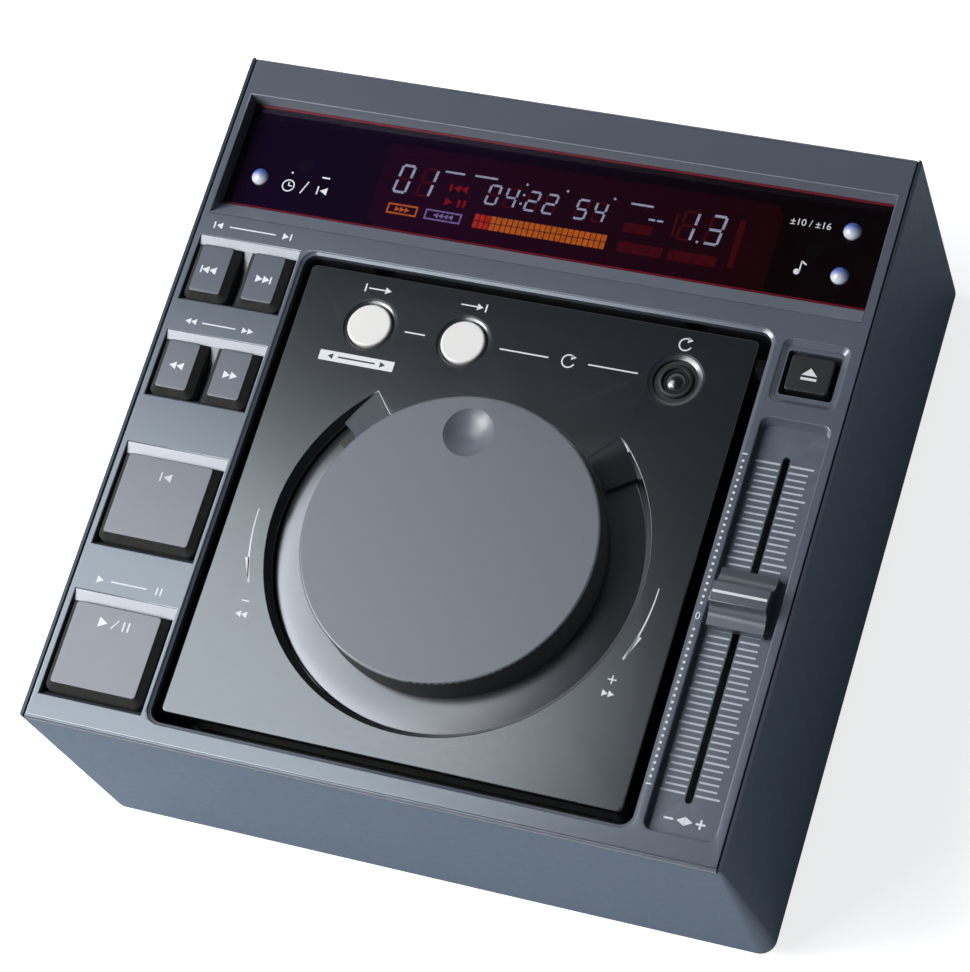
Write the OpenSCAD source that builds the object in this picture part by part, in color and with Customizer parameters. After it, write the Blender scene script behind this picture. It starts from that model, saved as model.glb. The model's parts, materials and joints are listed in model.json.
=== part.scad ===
// Top-loading tabletop disc player with a jog dial in its lid.
// X runs to the right, Y to the rear and Z up. The origin lies on the table under the middle of the case.

/* [Case] */
// Width of the case
case_w = 217; // [214:1:225]
// Depth of the case
case_d = 223; // [221:1:235]
// Height of the case above its feet
case_h = 82; // [80:1:95]
// Radius of the upright case corners at the bottom
case_corner_r = 5; // [3:0.5:8]
// Radius of the upright case corners at the top
case_top_r = 0.8; // [0.5:0.1:3]
// Thickness of the case walls
wall_t = 2.5; // [2:0.1:3]
// Thickness of the sheet bottom plate
bottom_t = 1.2; // [1:0.1:2]
// Height of the feet
foot_h = 8; // [6:0.5:12]
// Radius of the feet
foot_r = 9; // [7:0.5:11]
// Distance of the foot centres from the case sides
foot_inset = 20; // [16:1:26]

/* [Top panel] */
// Thickness of the top panel
panel_t = 3; // [2.5:0.1:3.5]
// Thickness of the lip that covers the front and rear walls
lip_t = 1.4; // [1.2:0.1:1.8]
// Radius along the front and rear edges of the panel
panel_edge_r = 0.9; // [0.4:0.1:1.1]
// Width of the side seams
seam = 0.5; // [0.3:0.05:0.6]
// Thickness of the side lips beside the seams
side_lip_t = 1; // [0.8:0.1:1.4]
// Thickness of recess walls and floors
recess_wall_t = 1.6; // [1.2:0.1:2]

/* [Display] */
// Distance from the left case side to the display recess
display_left = 3.8; // [3.2:0.1:6]
// Distance from the right case side to the display recess
display_right = 4.5; // [3.8:0.1:7]
// Distance from the rear edge to the display recess
display_rear = 12.6; // [9:0.1:14]
// Gap between the lid opening and the display recess
display_gap = 7.9; // [7.6:0.1:9]
// Depth of the display recess
display_depth = 6; // [5:0.1:7]
// Run of the slope at the front of the display recess
display_slope = 6.3; // [5:0.1:7]
// Thickness of the smoked window
window_t = 2; // [1.5:0.1:2.5]
// Distance from the left case side to the middle of the left display button
time_left = 13.1; // [11:0.1:15]
// Distance from the right case side to the middles of the right display buttons
dots_right = 16.3; // [14:0.1:18]
// Radius of the domed display buttons
dot_r = 2.75; // [2.4:0.05:3]
// Height of the domed buttons above the window
dot_proud = 1.9; // [1.2:0.1:2.4]

/* [Keys] */
// Distance from the left case side to the key recesses
key_left = 3.5; // [3.2:0.1:5]
// Width of the key recesses
key_col_w = 33.3; // [32:0.1:34]
// Depth of the two large key recesses
big_recess_d = 33.7; // [30:0.1:35]
// Depth of the two small recesses that hold a pair of keys
pair_recess_d = 22; // [20:0.1:24]
// Distance from the front edge to the play key recess
play_front = 8; // [7:0.1:10]
// Gap between the play and cue recesses
cue_gap = 14.8; // [12:0.1:16]
// Gap between the cue and search recesses
search_gap = 15.9; // [12:0.1:17]
// Gap between the search and track recesses
track_gap = 10.7; // [8:0.1:12]
// Gap between the two keys of a pair, at their faces
pair_gap = 7; // [5:0.1:9]
// Depth of the recesses
ramp_depth = 4.9; // [4:0.1:5.6]
// Slope in degrees at the rear edge of a recess, where its floor curves down
ramp_slope = 45; // [40:1:60]
// Run of the short slope at the front of a recess
ramp_front = 2.6; // [1.5:0.1:4]
// Height of the key faces above the panel
key_proud = 1.5; // [1:0.1:2.5]
// Bevel round the key faces
key_bevel = 1.9; // [1:0.1:2.2]
// Travel of the keys and display buttons
key_travel = 0.8; // [0.4:0.1:1]

/* [Lid key] */
// Distance from the right case side to the middle of the lid key
lid_key_right = 15.1; // [14:0.1:16]
// Distance from the display recess to the middle of the lid key
lid_key_gap = 18.7; // [18.2:0.1:20]
// Width of the lid key
lid_key_w = 13; // [11:0.1:13.4]
// Front-to-rear size of the lid key
lid_key_d = 11.2; // [10:0.1:12]

/* [Tempo slider] */
// Distance from the right case side to the slider channel
channel_right = 4.3; // [3.6:0.1:6]
// Width of the slider channel
channel_w = 20.9; // [19:0.1:21.2]
// Distance from the front edge to the slider channel
channel_front = 7.8; // [7:0.1:10]
// Length of the slider channel
channel_d = 127; // [124:0.5:130]
// Depth of the slider channel
channel_depth = 3; // [2:0.1:3.4]
// Full travel of the tempo slider
tempo_travel = 101; // [90:1:103]
// How far the slider stands to the rear of its middle
tempo_offset = 6.8; // [0:0.1:20]
// Width of the slider slot
slot_w = 2.2; // [1.8:0.1:3]
// Width of the slider cap
cap_w = 17; // [15:0.1:18]
// Length of the slider cap along its travel
cap_d = 18; // [15:0.1:20]
// Height of the slider cap above the panel
cap_proud = 5; // [4:0.1:7]

/* [Lid] */
// Gap between the key recesses and the lid opening
lid_left = 2.3; // [2:0.1:3.2]
// Gap between the lid opening and the slider channel
channel_gap = 3.5; // [3:0.1:4.5]
// Distance from the front edge to the lid opening
lid_front = 7.3; // [7:0.1:9]
// Front-to-rear size of the lid opening
lid_open_d = 153.5; // [151:0.1:154]
// Gap round the lid
lid_gap = 3.4; // [3:0.1:4]
// Corner radius of the lid opening
lid_corner_r = 4; // [3:0.1:6]
// Thickness of the lid's top
lid_t = 2.8; // [2.4:0.1:3.2]
// Height of the lid from its liner to its top
lid_h = 20.6; // [20.4:0.1:21]
// Thickness of the lid liner
liner_t = 1.6; // [1.4:0.1:1.8]
// Height of the hinge axis below the panel face
hinge_drop = 6.5; // [6.2:0.1:7]
// Distance of the hinge axis behind the lid opening
hinge_back = 5; // [4.8:0.1:5.4]
// Radius of the hinge pins
hinge_pin_r = 1.5; // [1.2:0.1:1.6]
// Distance between the two hinge arms
hinge_spread = 100; // [80:1:110]

/* [Jog dial] */
// Sideways distance of the jog axis from the middle of the lid
jog_shift = 0.5; // [0:0.1:1]
// Distance of the jog axis from the front edge of the lid opening
jog_front = 69.8; // [69:0.1:71]
// Radius of the jog platter
platter_r = 44.9; // [42:0.1:46]
// Height of the platter face above the lid
platter_proud = 8; // [5:0.1:10]
// Radius of the round opening in the lid
jog_open_r = 57.8; // [57.4:0.1:58]
// Slope of the opening's edge, measured across
jog_edge_w = 1.6; // [1:0.1:1.8]
// Height of the opening's sloped edge
jog_edge_h = 2.6; // [1.6:0.1:2.8]
// Depth that the ramps beside the jog ring reach
shelf_drop = 2.35; // [1:0.05:2.4]
// Width of the jog ring that shows round the platter
ring_w = 10.4; // [9:0.1:10.4]
// Distance of the finger dimple from the jog axis
dimple_at = 33.2; // [28:0.1:34]
// Radius of the finger dimple at its rim
dimple_r = 7.7; // [6:0.1:8.5]
// Depth of the finger dimple
dimple_depth = 2.6; // [1.5:0.1:2.8]
// Radius of the jog shaft
jog_shaft_r = 3; // [2.5:0.1:3.4]
// Radius of the slotted encoder disc
encoder_r = 20; // [17:0.5:22]
// Slots in the encoder disc
encoder_slots = 24; // [12:1:36]

/* [Loop buttons] */
// Distance of the loop buttons from the rear of the lid opening
loop_rear = 20; // [19:0.1:20.4]
// Sideways distance of the loop-in button from the middle of the lid
in_side = 47.3; // [46:0.1:50]
// Sideways distance of the loop-out button from the middle of the lid
out_side = 17; // [14:0.1:20]
// Sideways distance of the small loop button from the middle of the lid
reloop_side = 49.8; // [46:0.1:53]
// Radius of the white loop buttons
loop_r = 6.9; // [6:0.1:7]
// Radius of the small loop button
reloop_r = 3.7; // [3:0.1:4.5]
// Radius of the dished recesses round the loop buttons
dish_r = 8.6; // [8:0.1:9]
// Depth of the dished recesses
dish_depth = 1.6; // [1:0.1:2]

/* [Disc drive] */
// Radius of the discs that the player takes
disc_r = 60; // [60:0.1:60.5]
// Clearance round the disc in its well
disc_gap = 2; // [1.5:0.1:2.5]
// Depth of the deck below the panel face
deck_drop = 22; // [21.8:0.1:22.2]
// Depth of the disc well below its deck
well_depth = 8; // [7.8:0.1:8.4]
// Radius of the hub nose that fits the disc's hole
hub_nose_r = 7.35; // [7.3:0.01:7.45]
// Radius of the disc seat on the hub
hub_seat_r = 15; // [13:0.1:16]
// Height of the disc seat above the well floor
seat_h = 4.6; // [4.4:0.1:5]
// Distance of the lens from the disc axis at rest
lens_in = 24; // [23:0.1:26]
// Travel of the pickup sled
sled_travel = 34; // [30:0.5:34]
// Radius of the guide rods
rod_r = 1.5; // [1.2:0.1:2]
// Distance of each guide rod from the disc axis
rod_offset = 21; // [20:0.1:22]
// Module of the gears and the rack
gear_module = 0.6; // [0.6:0.1:0.6]
// Teeth on the rack pinion
rack_pinion_teeth = 16; // [14:2:18]
// Teeth on the drive wheel
wheel_teeth = 48; // [40:4:52]
// Teeth on the motor pinion
motor_teeth = 12; // [10:2:14]

/* [Rear sockets] */
// Radius of the round audio sockets
socket_r = 4.15; // [4:0.05:4.3]
// Depth of the recess that holds the sockets
socket_recess = 9; // [8:0.5:11]
// Distance between the audio sockets
socket_pitch = 20; // [18:0.5:22]
// Bore radius of the control socket
control_r = 1.8; // [1.7:0.05:1.9]

/* [Fits] */
// Running clearance of shafts and rods
run_fit = 0.05; // [0.03:0.01:0.08]
// Gap round keys and buttons
key_gap = 0.5; // [0.4:0.05:0.6]
// Gap between parts that only pass each other
pass_gap = 0.4; // [0.3:0.05:0.5]

/* [Hidden] */
$fn = 48;
eps = 0.01;

// Case
x_right = case_w / 2;
y_rear = case_d / 2;
top_z = foot_h + case_h;
panel_z = top_z - panel_t;
inner_x = x_right - wall_t;
inner_y = y_rear - wall_t;
floor_z = foot_h + bottom_t;
ledge_w = 5;
ledge_t = 2;
post_r = 3;
post_at = [inner_x - 3.6, inner_y - 3.2];
screw_r = 1.4;
screw_head_r = 2.6;
screw_head_h = 1.6;
screw_grip = 12;
foot_at = [x_right - foot_inset, y_rear - foot_inset];
corners = [[-1, -1], [1, -1], [-1, 1], [1, 1]];
cloth_grey = [0.30, 0.34, 0.39];
board_green = [0.10, 0.32, 0.20];
steel = [0.72, 0.73, 0.75];
board_t = 1.6;

// Keys
key_x = [-x_right + key_left, -x_right + key_left + key_col_w];
play_y = [-y_rear + play_front, -y_rear + play_front + big_recess_d];
cue_y = [play_y[1] + cue_gap, play_y[1] + cue_gap + big_recess_d];
search_y = [cue_y[1] + search_gap, cue_y[1] + search_gap + pair_recess_d];
track_y = [search_y[1] + track_gap, search_y[1] + track_gap + pair_recess_d];
key_side = 0.8;
big_front = 1.7;
big_back = 2.1;
pair_front = 0.6;
pair_back = 1.6;
key_r = 2.4;
pocket_z = top_z - ramp_depth - recess_wall_t;
key_low = pocket_z - 1.4;
key_top = top_z + key_proud;
key_mid = (key_x[0] + key_x[1]) / 2;
pair_half = pair_gap / 2 - key_bevel;
switch_h = 3.2;
key_board_z = key_low - key_travel - 0.3 - switch_h - board_t;

// Lid and its opening, between the keys and the slider channel
channel_x = [x_right - channel_right - channel_w, x_right - channel_right];
open_x = [key_x[1] + lid_left, channel_x[0] - channel_gap];
open_y = [-y_rear + lid_front, -y_rear + lid_front + lid_open_d];
lid_x = [open_x[0] + lid_gap, open_x[1] - lid_gap];
lid_y = [open_y[0] + lid_gap, open_y[1] - lid_gap];
lid_mid = (open_x[0] + open_x[1]) / 2;
skirt_in = 2.6;
skirt_t = 2;
skirt_x = [lid_x[0] + skirt_in, lid_x[1] - skirt_in];
skirt_y = [lid_y[0] + skirt_in, lid_y[1] - skirt_in];
liner_z = top_z - lid_h;
lid_plate_z = top_z - lid_t;
open_chamfer = 0.9;
hinge_y = open_y[1] + hinge_back;
hinge_z = top_z - hinge_drop;
hinge_eye_r = 3;
arm_t = 5;
arm_x = [lid_mid - hinge_spread / 2, lid_mid + hinge_spread / 2];
arm_low = hinge_z - 9.5;
arm_high = hinge_z - 5.5;
bracket_t = 2;
bracket_at = arm_t / 2 + pass_gap;
pin_l = 24;
spring_wire_r = 0.45;
spring_turns = 5;
spring_l = 7;

// Display
display_x = [-x_right + display_left, x_right - display_right];
display_y = [open_y[1] + display_gap, y_rear - display_rear];
window_y = [display_y[0] + display_slope, display_y[1]];
window_d = window_y[1] - window_y[0];
window_z = top_z - display_depth;
module_x = [-58, 68];
module_y = [window_y[0] + 0.11 * window_d, window_y[1] - 0.14 * window_d];
module_z = [window_z - window_t - 7, window_z - window_t - 0.5];
display_board_z = module_z[0] - 3;
dot_pitch = max(0.418 * window_d, 2 * dot_r + key_gap);
dots_y = window_y[0] + 0.489 * window_d;
time_at = [-x_right + time_left, window_y[0] + 0.308 * window_d];
tempo_range_at = [x_right - dots_right, dots_y + dot_pitch / 2];
master_tempo_at = [x_right - dots_right, dots_y - dot_pitch / 2];
dot_low = window_z - window_t - 3.4;
dot_hole_r = dot_r + pass_gap;

// Latch
strike_at = [skirt_x[1] - 10.1, skirt_y[0] + 6.8];
strike_half = 4;
latch_wall_t = 2;
latch_room = strike_half + 1;

// Jog dial
jog_x = lid_mid + jog_shift;
jog_y = open_y[0] + jog_front;
pan_r = jog_open_r - jog_edge_w;
pan_wall_t = 1.4;
pan_floor_z = top_z - 9;
pan_floor_t = 1.6;
ring_r = platter_r + ring_w;
ring_z = top_z - 3.7;
ring_inner_z = top_z - 5.4;
web_z = [pan_floor_z + 2.2, ring_inner_z - 0.1];
shelf_z = ring_z + 0.4;
shelf_in_r = platter_r + 1.2;
shelf_step = 35;
shelf_fold = 48.5;
platter_z = top_z + platter_proud;
shaft_low = liner_z + 3.6;
bush_r = 6;
bush_z = [pan_floor_z - 4, pan_floor_z + 1.8];
bush_boss_r = 9;
encoder_z = liner_z + 5.2;
encoder_t = 0.6;
encoder_hub_r = 5;
sensor_x = 15;

// Loop buttons
loop_y = open_y[1] - loop_rear;
in_at = [lid_mid - in_side, loop_y];
out_at = [lid_mid - out_side, loop_y];
reloop_at = [lid_mid + reloop_side, loop_y];
button_gap = 0.4;
loop_low = lid_plate_z - 3.6;
loop_board_z = loop_low - key_travel - 0.3 - switch_h - board_t;
loop_rib_in = 15;
loop_rib_back = 8;
loop_rib_r = 3;
loop_board_side = 8;
loop_board_y = [loop_y - 3.6, loop_y + loop_rib_back + loop_rib_r + 1];

// Disc drive
deck_z = top_z - deck_drop;
deck_t = 2;
well_r = disc_r + disc_gap;
well_z = deck_z - well_depth;
well_t = 1.6;
well_under = well_z - well_t;
basin_t = 1.8;
scallop_r = 13;
scallop_in = scallop_r + 5.5;
seat_z = well_z + seat_h;
hub_hole_r = hub_seat_r + 2;
tower_half = 8;
tower_end = 4.2;
slot_half = tower_half + 1.5;
slot_end = lens_in + sled_travel + tower_end + pass_gap;
nose_h = 1.8;
nose_cone_h = 1.2;
hub_low = well_z + 0.8;
spindle_r = 1;
motor_r = 12;
chassis_t = 2;
chassis_z = well_z - 16;
motor_z = [chassis_z + chassis_t, well_under - 1];
sled_z = [chassis_z + chassis_t + 3, chassis_z + chassis_t + 11];
sled_out = 18;
sled_half = rod_offset + 3;
rod_z = chassis_z + chassis_t + 6;
rod_x = [motor_r + 1.5, lens_in + sled_travel + sled_out + 6];
rod_wall = 3;
sled_in = lens_in - rod_x[0] - rod_wall - 0.8;
lens_r = 2.6;
lens_top = seat_z - 2;
lens_low = lens_top - 3.2;
pitch = PI * gear_module;
rack_pitch_y = -(sled_half + 3);
rack_pinion_r = gear_module * rack_pinion_teeth / 2;
wheel_r = gear_module * wheel_teeth / 2;
motor_pinion_r = gear_module * motor_teeth / 2;
gear_x = lens_in + sled_travel - 11;
gear_y = rack_pitch_y - rack_pinion_r;
motor_y = gear_y - wheel_r - motor_pinion_r;
wheel_z = [chassis_z + chassis_t + 0.6, chassis_z + chassis_t + 2.4];
rack_z = [wheel_z[1] + 1, wheel_z[1] + 4];
rack_x = [-14, 26];
axle_r = 1;
pinion_bore_r = 0.75;
chassis_x = [-32, rod_x[1] + rod_wall];
chassis_y = [motor_y - 10, sled_half + 12];
damper_r = 5.5;
damper_in = 6;
// the last damper stands under the deck, inside the wall of the basin
damper_at = [[chassis_x[0] + damper_in, chassis_y[0] + damper_in], [gear_x - 17, chassis_y[0] + damper_in],
    [chassis_x[0] + damper_in, chassis_y[1] - damper_in],
    [min(chassis_x[1] - 15, open_x[1] - jog_x - damper_r), chassis_y[1] - damper_in]];
damper_hole_r = 3;
damper_neck_r = 4.2;
sled_motor_r = 8;
sled_motor_h = 13;

// Clamp puck
puck_r = 15.5;
puck_z = [seat_z + 1.6, liner_z - 0.5];
puck_stem_r = 6;
puck_hole_r = puck_stem_r + 0.8;
puck_flange_r = 9;

// Tempo slider
channel_y = [-y_rear + channel_front, -y_rear + channel_front + channel_d];
channel_z = top_z - channel_depth;
slider_x = (channel_x[0] + channel_x[1]) / 2 - 0.6;
slider_mid_y = (channel_y[0] + channel_y[1]) / 2;
slider_y = slider_mid_y + tempo_offset;
lever_d = 4;
slot_y = [slider_mid_y - tempo_travel / 2 - lever_d / 2 - 0.8,
    slider_mid_y + tempo_travel / 2 + lever_d / 2 + 0.8];
channel_back = 1.5;
cap_low = channel_z + pass_gap;
fader_z = [channel_z - recess_wall_t - 12, channel_z - recess_wall_t];

// Lid key
lid_key_at = [x_right - lid_key_right, display_y[0] - lid_key_gap];
frame_half = 10;
frame_step = 1.4;
lid_pocket = [lid_key_w + 3.2, lid_key_d + 3];
lid_key_low = top_z - 11;

// Electronics and rear sockets
inlet_w = 27;
inlet_h = 20;
inlet_l = 18;
inlet_up = 22;
inlet_left = 32;
inlet_at = [-x_right + inlet_left, foot_h + inlet_up];
power_switch_w = 13;
power_switch_h = 19;
switch_step = 34;
switch_at = [inlet_at[0] + switch_step, foot_h + inlet_up];
main_z = floor_z + 9;
transformer_w = 46;
transformer_d = 40;
transformer_h = 34;
transformer_foot = 6;
transformer_at = [-x_right + 38, y_rear - 52];
transformer_end = transformer_at[0] + transformer_w / 2 + transformer_foot;
main_x = [transformer_end + 1.5, inner_x - 6];
main_y = [-inner_y + 12, y_rear - 71.5];
power_x = [transformer_end + 3.5, transformer_end + 73.5];
power_y = [y_rear - 55.5, inner_y - socket_recess - 6];
spacer_r = 3;
control_x = inner_x - 26;
socket_x = [for (i = [0:2]) control_x - 26 - (2 - i) * socket_pitch];
recess_x = [socket_x[0] - 22, control_x + 14];
recess_z = [foot_h + 10, foot_h + 34];
recess_y = y_rear - socket_recess;
socket_z = (recess_z[0] + recess_z[1]) / 2;
socket_l = socket_recess - 0.5;
rocker_swing = 6;

// ---------- helpers ----------

// Box between two corners, each axis given as [low, high]
module block(x, y, z) {
    translate([x[0], y[0], z[0]])
        cube([x[1] - x[0], y[1] - y[0], z[1] - z[0]]);
}

// Outline of a rectangle with round corners
module rounded(x, y, r) {
    translate([x[0] + r, y[0]])
        square([x[1] - x[0] - 2 * r, y[1] - y[0]]);
    translate([x[0], y[0] + r])
        square([x[1] - x[0], y[1] - y[0] - 2 * r]);
    for (cx = [x[0] + r, x[1] - r], cy = [y[0] + r, y[1] - r])
        translate([cx, cy])
            circle(r = r);
}

// Plate with round corners, each axis given as [low, high]
module slab(x, y, z, r) {
    translate([0, 0, z[0]])
        linear_extrude(z[1] - z[0])
            rounded(x, y, r);
}

// Upright cylinder at a point, from z[0] to z[1]
module post(at, r, z) {
    translate([at[0], at[1], z[0]])
        cylinder(r = r, h = z[1] - z[0]);
}

// Profile in the YZ plane, extruded along X
module along_x(x, points) {
    translate([x[0], 0, 0])
        rotate([90, 0, 90])
            linear_extrude(x[1] - x[0])
                polygon(points);
}

function wider(range, by) = [range[0] - by, range[1] + by];
function around(at, half) = [at - half, at + half];

// Spur gear outline with straight-sided teeth; angle 0 lies on a tooth
function gear_points(teeth) = [
    for (i = [0:teeth - 1], k = [0:3])
        let (share = [-0.33, -0.11, 0.11, 0.33][k])
        let (r = gear_module * (teeth / 2 + [-1.2, 0.9, 0.9, -1.2][k]))
        let (a = 360 * (i + share) / teeth)
        [r * cos(a), r * sin(a)]
];

// Springs and other round wire wound along X
module coil(length, r, wire_r, turns) {
    sides = 6;
    steps = turns * 12;
    ring = [for (i = [0:steps], k = [0:sides - 1])
        let (a = 360 * i / 12)
        let (b = 360 * k / sides)
        let (reach = r + wire_r * cos(b))
        [length * i / steps + wire_r * sin(b), reach * cos(a), reach * sin(a)]];
    skin = [for (i = [0:steps - 1], k = [0:sides - 1])
        let (n = (k + 1) % sides)
        [i * sides + k, i * sides + n, (i + 1) * sides + n, (i + 1) * sides + k]];
    first = [for (k = [0:sides - 1]) sides - 1 - k];
    last = [for (k = [0:sides - 1]) steps * sides + k];
    polyhedron(points = ring, faces = concat(skin, [first, last]));
}

// ---------- case ----------

module lower_case() {
    color([0.33, 0.38, 0.44])
    difference() {
        union() {
            difference() {
                case_outside();
                slab([-inner_x, inner_x], [-inner_y, inner_y], [floor_z + ledge_t, top_z + 1],
                    case_corner_r - wall_t);
            }
            socket_pocket(recess_wall_t);
        }
        // opening in the floor, inside the ledge that the bottom plate is screwed to
        slab(wider([-inner_x, inner_x], -ledge_w), wider([-inner_y, inner_y], -ledge_w),
            [foot_h - 1, floor_z + ledge_t + 1], case_corner_r);
        // seat of the bottom plate
        slab(wider([-inner_x, inner_x], -0.5), wider([-inner_y, inner_y], -0.5),
            [foot_h - 1, floor_z], case_corner_r - wall_t);
        for (c = corners)
            post([c[0] * post_at[0], c[1] * post_at[1]], post_r + 0.2, [foot_h - 1, floor_z + ledge_t + 1]);
        // seat of the top panel between the side lips, over the front and rear walls
        block(wider([-x_right, x_right], -side_lip_t), [-inner_y, inner_y], [panel_z, top_z + 1]);
        block(wider([-x_right, x_right], -side_lip_t), [-y_rear - 1, y_rear + 1],
            [top_z - lip_t - seam / 2, top_z + 1]);
        socket_pocket(0);
        translate([inlet_at[0], y_rear, inlet_at[1]])
            cube([inlet_w, 3 * wall_t, inlet_h], center = true);
        translate([switch_at[0], y_rear, switch_at[1]])
            cube([power_switch_w, 3 * wall_t, power_switch_h], center = true);
        for (x = socket_x)
            socket_hole(x, socket_r + 0.1);
        socket_hole(control_x, control_r + 1.3);
    }
}

// Outline whose upright corners are round at the bottom and nearly sharp at the top
module case_outside() {
    hull() {
        slab([-x_right, x_right], [-y_rear, y_rear], [foot_h, foot_h + 1], case_corner_r);
        slab([-x_right, x_right], [-y_rear, y_rear], [top_z - 1, top_z], case_top_r, $fn = 24);
    }
}

// Recess in the rear wall that shields the sockets; grow adds its walls
module socket_pocket(grow) {
    block(wider(recess_x, grow), [recess_y - grow, y_rear + (grow > 0 ? -1 : 1)],
        wider(recess_z, grow));
}

module socket_hole(x, r) {
    translate([x, recess_y + 1, socket_z])
        rotate([90, 0, 0])
            cylinder(r = r, h = recess_wall_t + 2);
}

module bottom_plate() {
    slot_l = 18;
    slot_t = 3;
    vents = 7;
    color("silver")
    difference() {
        slab(wider([-inner_x, inner_x], -0.6), wider([-inner_y, inner_y], -0.6),
            [foot_h, floor_z], case_corner_r - wall_t);
        for (i = [0:vents - 1], side = [0, 1])
            slab([-70 + i * 9, -70 + slot_t + i * 9], [-20 + side * 60, -20 + slot_l + side * 60],
                [foot_h - 1, floor_z + 1], slot_t / 2 - eps);
        for (c = corners) {
            post([c[0] * post_at[0], c[1] * post_at[1]], screw_r + 0.2, [foot_h - 1, floor_z + 1]);
            post([c[0] * foot_at[0], c[1] * foot_at[1]], screw_r + 0.2, [foot_h - 1, floor_z + 1]);
        }
    }
}

module feet() {
    color([0.12, 0.12, 0.13])
        for (c = corners)
            translate([c[0] * foot_at[0], c[1] * foot_at[1], 0])
                rotate_extrude()
                    polygon([[screw_r + 0.2, foot_h - 3], [screw_r + 0.2, foot_h], [foot_r, foot_h],
                        [foot_r - 1, 0.6], [foot_r - 1.6, 0], [4, 0], [4, foot_h - 3]]);
}

module case_screws() {
    color(steel)
        for (c = corners) {
            // long screws into the posts of the top panel
            post([c[0] * post_at[0], c[1] * post_at[1]], screw_head_r, [foot_h - screw_head_h, foot_h]);
            post([c[0] * post_at[0], c[1] * post_at[1]], screw_r,
                [foot_h - screw_head_h / 2, floor_z + screw_grip]);
            // short screws that hold the feet
            post([c[0] * foot_at[0], c[1] * foot_at[1]], screw_head_r,
                [foot_h - 3 - screw_head_h, foot_h - 3]);
            post([c[0] * foot_at[0], c[1] * foot_at[1]], screw_r,
                [foot_h - 3 - screw_head_h / 2, floor_z + 3]);
        }
}

// ---------- top panel ----------

// Key recess: its floor curves down from the rear edge and rises in a short slope at the front
module ramp_cut(y) {
    low = top_z - ramp_depth;
    r = ramp_depth / (1 - cos(ramp_slope));
    bend = [for (i = [0:6])
        let (a = ramp_slope * (1 - i / 6))
        [y[1] + r * (sin(a) - sin(ramp_slope)), low + r * (1 - cos(a))]];
    along_x(key_x, concat([[y[0] + ramp_front, low], [y[0], top_z], [y[0], top_z + 1], [y[1], top_z + 1]], bend));
}

// Space that a key passes through; the key itself has the same outline less the gap
module key_hole(x, y) {
    slab(wider(x, key_gap), wider(y, key_gap), [pocket_z - 20, top_z + 1], key_r + key_gap);
}

function big_key_x() = wider(key_x, -key_side);
function big_key_y(y) = [y[0] + big_front, y[1] - big_back];
function left_key_x() = [key_x[0] + key_side, key_mid - pair_half];
function right_key_x() = [key_mid + pair_half, key_x[1] - key_side];
function pair_key_y(y) = [y[0] + pair_front, y[1] - pair_back];

module top_panel() {
    color(cloth_grey)
    difference() {
        union() {
            panel_plate();
            // walls and floors of the recesses, under the plate
            block(wider(display_x, 1.1), [display_y[0] + 2.4, display_y[1] + recess_wall_t],
                [window_z - window_t, top_z - 1]);
            for (y = [play_y, cue_y, search_y, track_y])
                block([key_x[0], key_x[1]], wider(y, 0.5), [pocket_z, top_z - 1]);
            slab(wider(channel_x, recess_wall_t), wider(channel_y, recess_wall_t),
                [channel_z - recess_wall_t, top_z - 1], 2.5 + recess_wall_t);
            translate([lid_key_at[0], lid_key_at[1], 0])
                slab([-frame_half, frame_half], [-frame_half, frame_half], [top_z - 8, top_z - 1], 2.5);
            for (c = corners)
                post([c[0] * post_at[0], c[1] * post_at[1]], post_r, [floor_z, top_z - 1]);
        }
        display_cut();
        for (y = [play_y, cue_y, search_y, track_y])
            ramp_cut(y);
        for (y = [play_y, cue_y])
            key_hole(big_key_x(), big_key_y(y));
        for (y = [search_y, track_y], x = [left_key_x(), right_key_x()])
            key_hole(x, pair_key_y(y));
        slab(open_x, open_y, [panel_z - 20, top_z + 1], lid_corner_r);
        opening_chamfer();
        channel_cut();
        lid_key_cut();
        for (c = corners)
            post([c[0] * post_at[0], c[1] * post_at[1]], screw_r + 0.05,
                [floor_z - 1, floor_z + screw_grip + 1]);
    }
}

// Plate with thin lips over the front and rear walls and a rounded front and rear edge
module panel_plate() {
    half = x_right - side_lip_t - seam;
    edge_y = y_rear - panel_edge_r;
    translate([-half, 0, 0])
        rotate([90, 0, 90])
            linear_extrude(2 * half) {
                translate([-edge_y, top_z - lip_t])
                    square([2 * edge_y, lip_t]);
                translate([-y_rear, top_z - lip_t])
                    square([2 * y_rear, lip_t - panel_edge_r]);
                translate([-inner_y + 0.2, panel_z])
                    square([2 * inner_y - 0.4, panel_t]);
                for (s = [-1, 1])
                    translate([s * edge_y, top_z - panel_edge_r])
                        intersection() {
                            circle(r = panel_edge_r);
                            translate([-panel_edge_r, panel_edge_r - lip_t])
                                square([2 * panel_edge_r, lip_t]);
                        }
            }
}

module display_cut() {
    low = window_z - window_t - 1;
    along_x(display_x, [[display_y[0], top_z + 1], [display_y[0], top_z], [window_y[0], window_z],
        [window_y[0], low], [display_y[1], low], [display_y[1], top_z + 1]]);
}

// Bevel round the lid opening
module opening_chamfer() {
    hull() {
        slab(open_x, open_y, [top_z - open_chamfer, top_z], lid_corner_r, $fn = 32);
        slab(wider(open_x, open_chamfer + 0.1), wider(open_y, open_chamfer + 0.1), [top_z + 0.1, top_z + 0.2],
            lid_corner_r + open_chamfer, $fn = 32);
    }
}

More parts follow.
